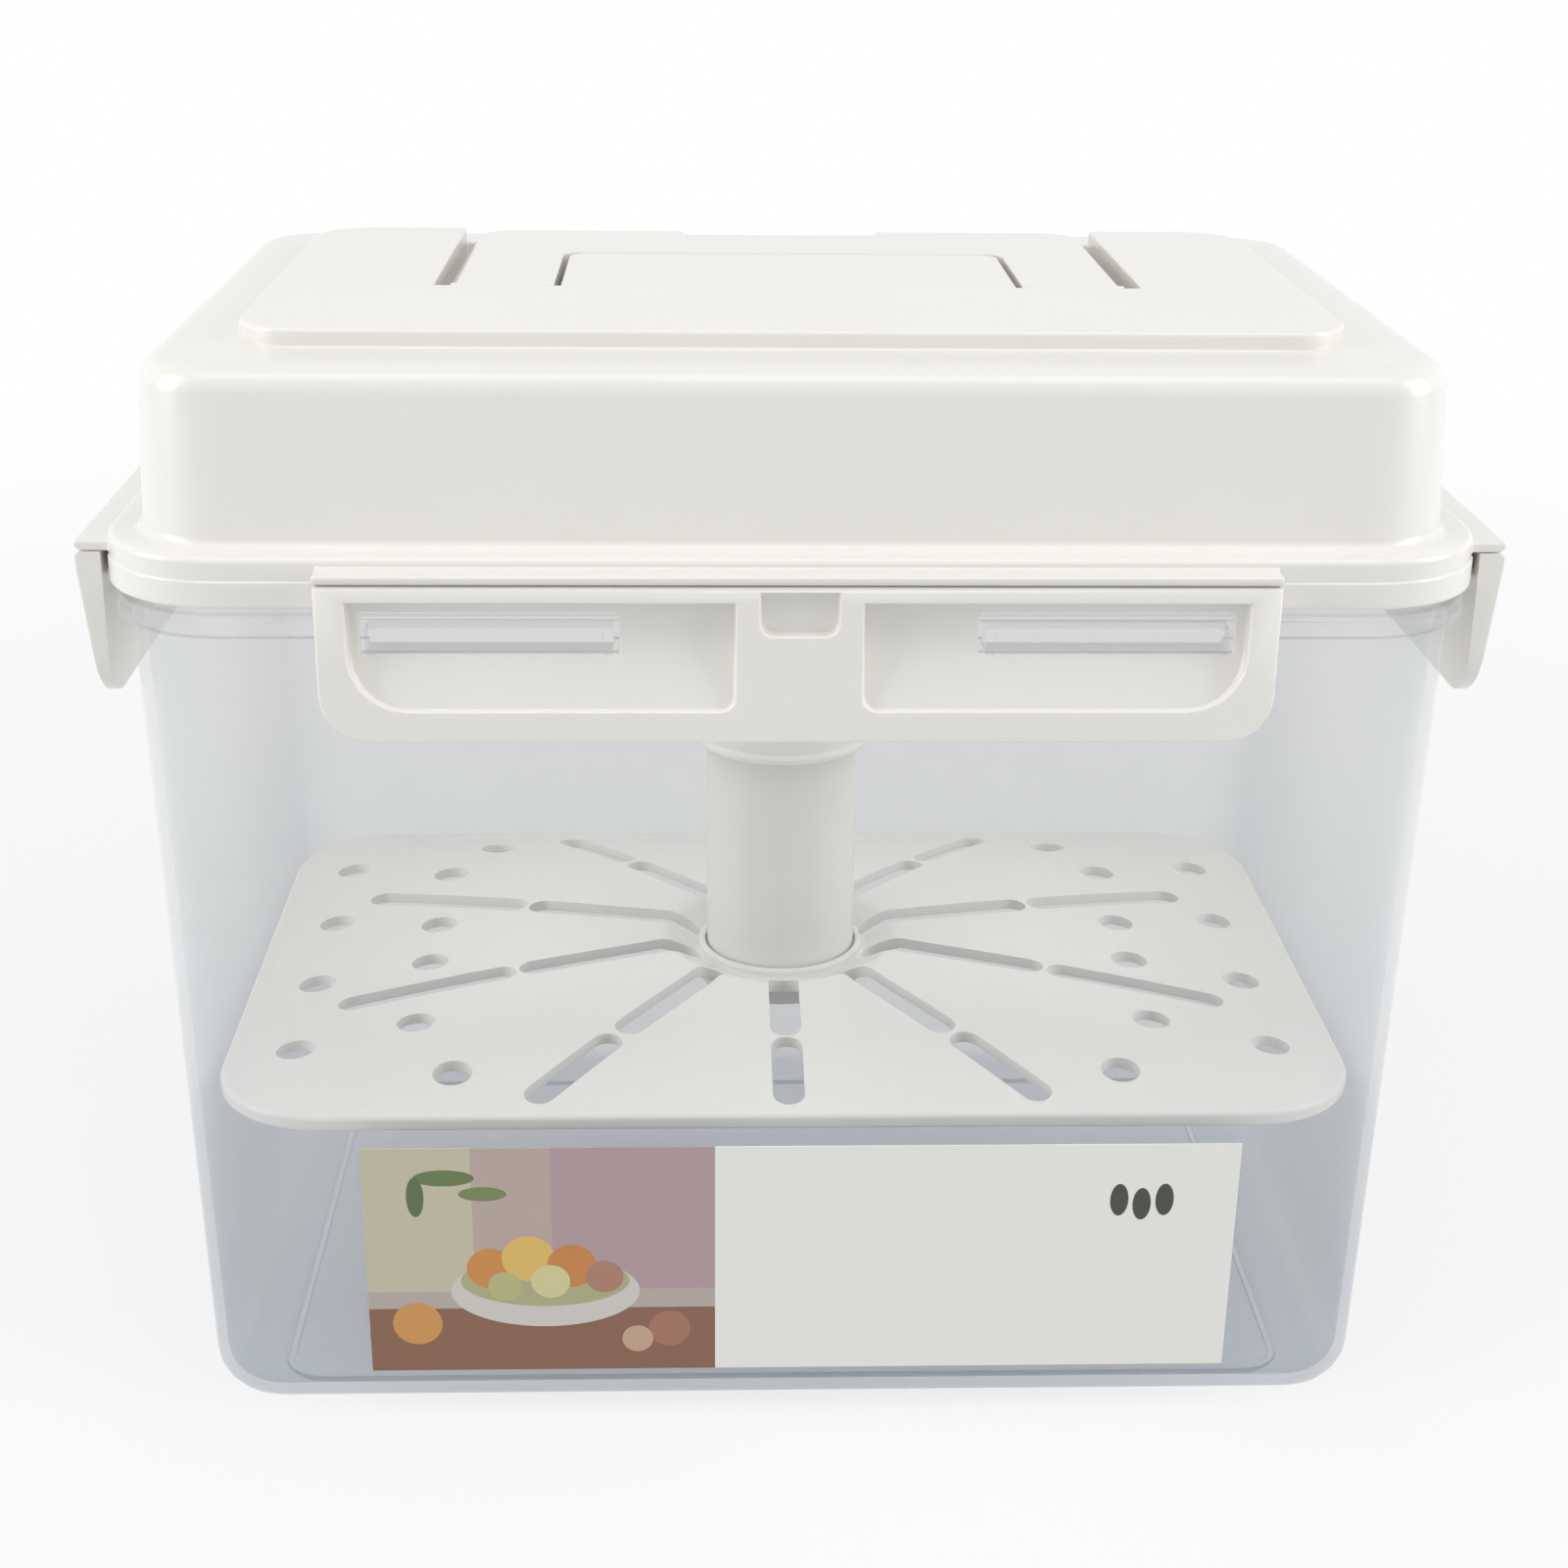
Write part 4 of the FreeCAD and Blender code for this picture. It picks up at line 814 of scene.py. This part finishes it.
STRIP_LOW, STRIP_HIGH, LATCH_REACH = TUB_TOP + 1.9, TUB_TOP + 3.6, 5.0
HINGE_BEVEL, PIN_RADIUS, PIN_DEPTH = 0.7, 1.56, 4.9
BOSS_LENGTH, BOSS_HALF = 6.0, 4.5
SPIGOT_BORE, SPIGOT_OUT = 13.85, 15.85
LATCH_THICK, LATCH_TOP, LATCH_BOTTOM = 4.3, LATCH_HIGH[2], LATCH_LOW[2]
LATCH_LENGTHS, SIDE_SLANT = {"front": 157.4, "side": 126.0}, 2.4
POCKET_IN, POCKET_END, POCKET_LOW, POCKET_TOP = 10.5, 5.0, LATCH_BOTTOM + 5.5, LATCH_TOP - 2.7
POCKET_DEPTH, SLOPE_DEPTH, SLOPE_HEIGHT, SLOPE_LAP = 3.1, 2.3, 10.5, 0.4
SLOT_LOW, SLOT_TOP, SLOT_ROOM = LUG_LOW - 0.2, LUG_LOW + LUG_HEIGHT + 2.2, 1.0
NOTCH_HALF, NOTCH_LOW, NOTCH_TOP, NOTCH_DEPTH = 6.4, LATCH_TOP - 8.25, LATCH_TOP - 0.95, 2.0
CORE_HALF, CORE_LOW, CORE_TOP = 8.5, LATCH_BOTTOM + 2, LATCH_TOP - 10.25

# How far a cutter goes past what it cuts

PAST = 1.0


def lid_shell():
    """Hood, flange and skirt as one closed skin, with the gasket's channel underneath."""
    wall, base = LID_WALL, FLANGE_TOP
    top_in = -(HOOD_TOP - base) * HOOD_LEAN
    under_in = -(HOOD_TOP - wall - base) * HOOD_LEAN - wall
    ledge, skirt_low, channel = TUB_TOP + 1.1, TUB_TOP - 3.4, TUB_TOP + 2.0
    path = rounded_path((
        (under_in - 12, HOOD_TOP - wall, 0), (under_in, HOOD_TOP - wall, 2.5), (-wall, base, 0),
        (-wall, skirt_low, 0.5), (CHANNEL_IN, skirt_low, 0.5), (CHANNEL_IN, channel, 0.3),
        (CHANNEL_OUT, channel, 0.3), (CHANNEL_OUT, skirt_low, 0.5), (SKIRT_REACH, skirt_low, 0.6),
        (SKIRT_REACH, ledge, 0.35), (FLANGE_REACH, ledge + 0.2, 0.15), (FLANGE_REACH, base, 1.1),
        (0, base, 1.7), (top_in, HOOD_TOP, 4.5), (top_in - 12, HOOD_TOP, 0)), steps=6)
    rings = [rounded_ring(HOOD_X + across, HOOD_Y + across, max(HOOD_CORNER + across, 3.2), height)
             for across, height in path]
    return joined_rings("lid_finished", rings)


def lid_panel():
    """The raised panel on the hood, with a softly rounded top edge."""
    return joined_rings("panel", [
        rounded_ring(PANEL_X + across, PANEL_Y + across, PANEL_CORNER + across, height)
        for across, height in rounded_path(((0, HOOD_TOP - 1, 0), (0, PANEL_TOP, 0.9),
                                            (-8, PANEL_TOP, 0)), steps=5)])


def recess_plan(grow, back):
    """Plan of the handle's recess, made larger or smaller all round."""
    left, front = RECESS_X + grow, RECESS_FRONT - grow
    island, end = ISLAND_X - grow, ISLAND_BACK - grow
    return rounded_plan(((-left, front, 1.3), (-island, front, 0), (-island, end, 3.4),
                         (island, end, 3.4), (island, front, 0), (left, front, 1.3),
                         (left, back, 0), (-left, back, 0)), steps=5)


def lid_mesh():
    """The lid: shell, raised panel hollow below, recess with its tray, hinge strips and spigot."""
    lid, wall = lid_shell(), LID_WALL
    cut(lid, lid_panel(), "UNION")
    tray_x, tray_front = RECESS_X + wall, RECESS_FRONT - wall
    tongue_x, tongue_back = ISLAND_X - wall, ISLAND_BACK - wall
    right, high = PANEL_X - wall, PANEL_Y - wall
    corner = PANEL_CORNER - wall
    hollow = [(-right, -high, corner), (right, -high, corner), (right, high, corner),
              (tray_x, high, 0), (tray_x, tray_front, 0), (tongue_x, tray_front, 0),
              (tongue_x, tongue_back, 0), (-tongue_x, tongue_back, 0), (-tongue_x, tray_front, 0),
              (-tray_x, tray_front, 0), (-tray_x, high, 0), (-right, high, corner)]
    cut(lid, slab("hollow", rounded_plan(hollow), "Z", HOOD_TOP - wall - 0.5, PANEL_TOP - wall))
    tray = recess_plan(wall, PANEL_Y + wall)
    cut(lid, slab("tray", tray, "Z", RECESS_FLOOR - wall, HOOD_TOP - 1), "UNION")
    for side in (-1, 1):
        ends = sorted((side * RECESS_X, side * (RECESS_X + BOSS_LENGTH)))
        cut(lid, block("boss", (ends[0], PIVOT_BACK - BOSS_HALF, RECESS_FLOOR - wall + 0.2),
                       (ends[1], PIVOT_BACK + BOSS_HALF, PANEL_TOP - wall + 1)), "UNION")
    recess = recess_plan(0, PANEL_Y + PAST)
    cut(lid, slab("recess", recess, "Z", RECESS_FLOOR, PANEL_TOP + PAST))
    around = [math.tau * step / 24 for step in range(24)]
    pin = [(PIVOT_BACK + PIN_RADIUS * math.cos(turn), PIVOT_HEIGHT + PIN_RADIUS * math.sin(turn))
           for turn in around]
    cut(lid, slab("pins", pin, "X", -RECESS_X - PIN_DEPTH, RECESS_X + PIN_DEPTH))
    for half, length, axis in ((HOOD_Y + FLANGE_REACH, LATCH_LENGTHS["front"] / 2, "X"),
                               (HOOD_X + FLANGE_REACH, LATCH_LENGTHS["side"] / 2, "Y")):
        root, tip = half - 2.9, half + LATCH_REACH
        for side in (-1, 1):
            strip = [(side * root, STRIP_LOW), (side * (tip - HINGE_BEVEL), STRIP_LOW),
                     (side * tip, STRIP_LOW + HINGE_BEVEL), (side * tip, STRIP_HIGH),
                     (side * root, STRIP_HIGH)]
            cut(lid, slab("strip", strip, axis, -length, length), "UNION")
    low, foot, top = PANEL_TOP - 6, PANEL_TOP - wall - 8, PANEL_TOP - 1.2
    spigot = turned("spigot", ((SPIGOT_BORE, low, 0), (SPIGOT_BORE, foot, 0.3),
                               (SPIGOT_OUT, foot, 0.3), (SPIGOT_OUT, top, 0), (SPIGOT_BORE, top, 0),
                               (SPIGOT_BORE, low, 0)))
    return cut(lid, spigot, "UNION")


def latch_mesh(name, half, length, lugs, slant, turn):
    """Snap latch at the front, turned to its side: frame, two finger pockets, slots and notch."""
    front, end, low = -(half + FLANGE_REACH + LATCH_REACH), length / 2, LATCH_BOTTOM
    back, past = front + LATCH_THICK, front - PAST
    plan = rounded_plan(((-end, low, 8), (end, low, 8), (end, LATCH_TOP, 0), (-end, LATCH_TOP, 0)),
                        steps=8)
    latch = slab(name, plan, "Y", front, back)
    if slant:
        wedge = [(past, POCKET_TOP), (front, POCKET_TOP), (front + slant, low),
                 (front + slant, low - PAST), (past, low - PAST)]
        cut(latch, slab("slant", wedge, "X", -end - PAST, end + PAST))
    floor, far = front + POCKET_DEPTH, end - POCKET_END
    for side in (-1, 1):
        pocket = rounded_plan([(side * x, y, radius) for x, y, radius in (
            (POCKET_IN, POCKET_LOW, 2.5), (far, POCKET_LOW, 9.5), (far, POCKET_TOP, 0),
            (POCKET_IN, POCKET_TOP, 0))], steps=5)
        cut(latch, slab("pocket", pocket, "Y", past, floor))
        ends = sorted((side * (POCKET_IN - 0.3), side * (far + 0.3)))
        lap, foot, crown = floor + SLOPE_LAP, POCKET_LOW - SLOPE_LAP, POCKET_LOW + SLOPE_HEIGHT
        slope = [(lap, foot), (floor - SLOPE_DEPTH, foot), (floor - SLOPE_DEPTH, POCKET_LOW),
                 (floor, crown), (lap, crown)]
        cut(latch, slab("slope", slope, "X", *ends), "UNION")
        middle, reach = side * lugs[0], lugs[1] / 2 + SLOT_ROOM
        cut(latch, block("slot", (middle - reach, past, SLOT_LOW),
                         (middle + reach, back + PAST, SLOT_TOP)))
    notch = rounded_plan(((-NOTCH_HALF, NOTCH_LOW, 2.2), (NOTCH_HALF, NOTCH_LOW, 2.2),
                          (NOTCH_HALF, NOTCH_TOP, 0), (-NOTCH_HALF, NOTCH_TOP, 0)), steps=4)
    cut(latch, slab("notch", notch, "Y", past, front + NOTCH_DEPTH))
    cut(latch, block("core", (-CORE_HALF, front + NOTCH_DEPTH, CORE_LOW),
                     (CORE_HALF, back + PAST, CORE_TOP)))
    latch = moulded(latch, LATCH_EDGE, segments=3)
    over, clear = LATCH_TOP + 0.3, front - 0.3
    hinge_side = [(clear, over - 0.6 - HINGE_BEVEL), (front + 0.3 + HINGE_BEVEL, over),
                  (clear, over)]
    cut(latch, slab("hinge_side", hinge_side, "X", -end - PAST, end + PAST))
    latch.data.transform(Matrix.Rotation(math.radians(turn), 4, "Z"))
    return latch


# Operators

class OBJECT_OT_container_tub(bpy.types.Operator):
    """Build the clear tub with its lugs, and its label"""

    bl_idname = "object.container_tub"
    bl_label = "Tub"
    bl_options = {"REGISTER", "UNDO"}

    def execute(self, context):
        tub = tub_wall()
        for lugs in tub_lugs():
            cut(tub, lugs, "UNION")
        keep(moulded(tub, TUB_EDGE), "container", "clear_plastic", "tub")
        keep(dressed_copy("label", "label_finished"), "container", "label_film", "label")
        return {"FINISHED"}


class OBJECT_OT_container_lid(bpy.types.Operator):
    """Build the lid with its gasket"""

    bl_idname = "object.container_lid"
    bl_label = "Lid"
    bl_options = {"REGISTER", "UNDO"}

    def execute(self, context):
        keep(moulded(lid_mesh(), LID_EDGE, clamped=False), "container", "white_plastic", "lid")
        keep(moulded(gasket_ring()), "container", "seal", "gasket")
        return {"FINISHED"}


class OBJECT_OT_container_column(bpy.types.Operator):
    """Build the column: sleeve, inner tube and spring"""

    bl_idname = "object.container_column"
    bl_label = "Column"
    bl_options = {"REGISTER", "UNDO"}

    def execute(self, context):
        keep(moulded(sleeve_tube()), "container", "white_plastic", "sleeve")
        keep(moulded(inner_tube()), "press", "white_plastic", "inner_tube")
        keep(coil_spring(), "container", "spring_steel", "spring")
        return {"FINISHED"}


class OBJECT_OT_container_plate(bpy.types.Operator):
    """Build the perforated press plate"""

    bl_idname = "object.container_plate"
    bl_label = "Press plate"
    bl_options = {"REGISTER", "UNDO"}

    def execute(self, context):
        plate = plate_skin()
        for tool in perforations():
            cut(plate, tool)
        keep(moulded(plate, PLATE_EDGE), "press", "white_plastic", "press_plate")
        return {"FINISHED"}


class OBJECT_OT_container_handle(bpy.types.Operator):
    """Build the folding handle"""

    bl_idname = "object.container_handle"
    bl_label = "Handle"
    bl_options = {"REGISTER", "UNDO"}

    def execute(self, context):
        handle = dressed_copy("handle", "handle_finished", HANDLE_EDGE)
        keep(handle, "handle", "white_plastic", "handle")
        return {"FINISHED"}


class OBJECT_OT_container_latches(bpy.types.Operator):
    """Build the four snap latches"""

    bl_idname = "object.container_latches"
    bl_label = "Latches"
    bl_options = {"REGISTER", "UNDO"}

    def execute(self, context):
        for side, turn in (("front", 0), ("back", 180), ("left", -90), ("right", 90)):
            node = f"{side}_latch"
            if turn in (0, 180):
                sizes = (HOOD_Y, LATCH_LENGTHS["front"], LUGS_FRONT, 0)
            else:
                sizes = (HOOD_X, LATCH_LENGTHS["side"], LUGS_SIDE, SIDE_SLANT)
            latch = latch_mesh(f"{node}_finished", *sizes, turn)
            keep(moulded(latch), node, "white_plastic", node)
        return {"FINISHED"}


# Stage: each lamp's place, aim, size in metres, power in watts, and whether gloss shows it

LAMPS = {
    "top_lamp": ((0, -0.4, 1.2), (0, 0, 0.1), (1.3, 0.5), 4.2, True),
    "left_lamp": ((-1, -0.3, 0.5), (0, 0, 0.1), (0.5, 0.9), 6.2, True),
    "right_lamp": ((1, -0.3, 0.5), (0, 0, 0.1), (0.5, 0.9), 6.2, True),
    "light_through_lid": ((0, 0, 0.16), (0, 0, 0), (0.19, 0.11), 0.095, False),
}

# The world's strength, and half the floor's side in millimetres

WORLD_LIGHT, FLOOR_HALF = 0.45, 14000


def add_lamp(name, place, aim, size, power, mirrored):
    """Add a soft lamp that points at a spot, seen only as a highlight or not at all."""
    light = bpy.data.lights.new(name, "AREA")
    light.shape = "RECTANGLE"
    light.size, light.size_y = size
    light.energy = power
    lamp = new_object(name, light)
    lamp.location = place
    lamp.rotation_euler = (Vector(aim) - Vector(place)).to_track_quat("-Z", "Y").to_euler()
    lamp.visible_camera = lamp.visible_transmission = False
    lamp.visible_glossy = mirrored


def seen_rays(tree):
    """Give 1 to the rays that show the backdrop, straight on, in gloss or through glass."""
    rays = add_node(tree, "ShaderNodeLightPath").outputs
    shown = larger(tree, rays["Is Camera Ray"], rays["Is Glossy Ray"])
    return larger(tree, shown, rays["Is Transmission Ray"])


def add_floor(colour):
    """Lay a floor that the camera sees as plain pale, with the object's shadow on it."""
    half = FLOOR_HALF
    corners = [(-half, -half, 0), (half, -half, 0), (half, half, 0), (-half, half, 0)]
    floor = mesh_from("floor", corners, [(0, 1, 2, 3)])
    material, tree, shader = new_material("pale_floor")
    set_node(shader, Base_Color=shade(colour), Roughness=0.9, Specular_IOR_Level=0.0)
    glow = add_node(tree, "ShaderNodeEmission", Color=(1, 1, 1, 1), Strength=1.0)
    fade = ranged(tree, length_of(tree, object_place(tree)), interpolation_type="SMOOTHSTEP",
                  From_Min=0.15, From_Max=0.9, To_Min=0.75, To_Max=1.0)
    share = add_node(tree, "ShaderNodeMath", seen_rays(tree), fade, operation="MULTIPLY")
    mix = add_node(tree, "ShaderNodeMixShader", share.outputs[0], shader.outputs[0],
                   glow.outputs[0])
    set_node(tree.nodes["Material Output"], Surface=mix.outputs[0])
    floor.data.materials.append(material)


def add_world(strength):
    """Light everything evenly, and show plain white to the camera."""
    world = bpy.data.worlds.new("studio")
    world.use_nodes = True
    tree = world.node_tree
    level = ranged(tree, seen_rays(tree), To_Min=strength, To_Max=1.0)
    set_node(tree.nodes["Background"], Color=(1, 1, 1, 1), Strength=level)
    bpy.context.scene.world = world


def add_camera(view):
    """Set the camera by its place, yaw, pitch and roll."""
    level = Vector((math.sin(view.yaw), math.cos(view.yaw), 0))
    forward = level * math.cos(view.pitch) - Vector((0, 0, math.sin(view.pitch)))
    right = Vector((math.cos(view.yaw), -math.sin(view.yaw), 0))
    up = right.cross(forward)
    turned_right = right * math.cos(view.roll) + up * math.sin(view.roll)
    turned_up = up * math.cos(view.roll) - right * math.sin(view.roll)
    turn = Matrix((turned_right, turned_up, -forward)).transposed()
    data = bpy.data.cameras.new("camera")
    data.lens = view.lens
    data.sensor_width = 36
    camera = new_object("camera", data)
    camera.matrix_world = Matrix.Translation(view.place) @ turn.to_4x4()
    bpy.context.scene.camera = camera


class SCENE_OT_container_stage(bpy.types.Operator):
    """Build the floor, the lights and the camera"""

    bl_idname = "scene.container_stage"
    bl_label = "Stage"
    bl_options = {"REGISTER", "UNDO"}

    def execute(self, context):
        context.scene.view_settings.view_transform = "Standard"
        add_floor(context.scene.container_colours.floor)
        add_world(WORLD_LIGHT)
        for name, values in LAMPS.items():
            add_lamp(name, *values)
        add_camera(context.scene.container_view)
        return {"FINISHED"}


OPERATORS = (OBJECT_OT_container_tub, OBJECT_OT_container_lid, OBJECT_OT_container_column,
             OBJECT_OT_container_plate, OBJECT_OT_container_handle, OBJECT_OT_container_latches,
             SCENE_OT_container_stage)


class VIEW3D_PT_container(bpy.types.Panel):
    """Lists the container's operators in the sidebar."""

    bl_label = "Fermentation Container"
    bl_space_type = "VIEW_3D"
    bl_region_type = "UI"
    bl_category = "Container"

    def draw(self, context):
        for operator in OPERATORS:
            self.layout.operator(operator.bl_idname)


GROUPS = {"container_colours": ContainerColours, "container_view": ContainerView,
          "container_finish": ContainerFinish}
CLASSES = (*GROUPS.values(), *OPERATORS, VIEW3D_PT_container)


def register():
    for item in CLASSES:
        bpy.utils.register_class(item)
    for name, group in GROUPS.items():
        setattr(bpy.types.Scene, name, bpy.props.PointerProperty(type=group))


def unregister():
    for name in GROUPS:
        delattr(bpy.types.Scene, name)
    for item in reversed(CLASSES):
        bpy.utils.unregister_class(item)


def main():
    register()
    for operator in OPERATORS:
        group, name = operator.bl_idname.split(".")
        getattr(getattr(bpy.ops, group), name)()


if __name__ == "__main__":
    main()
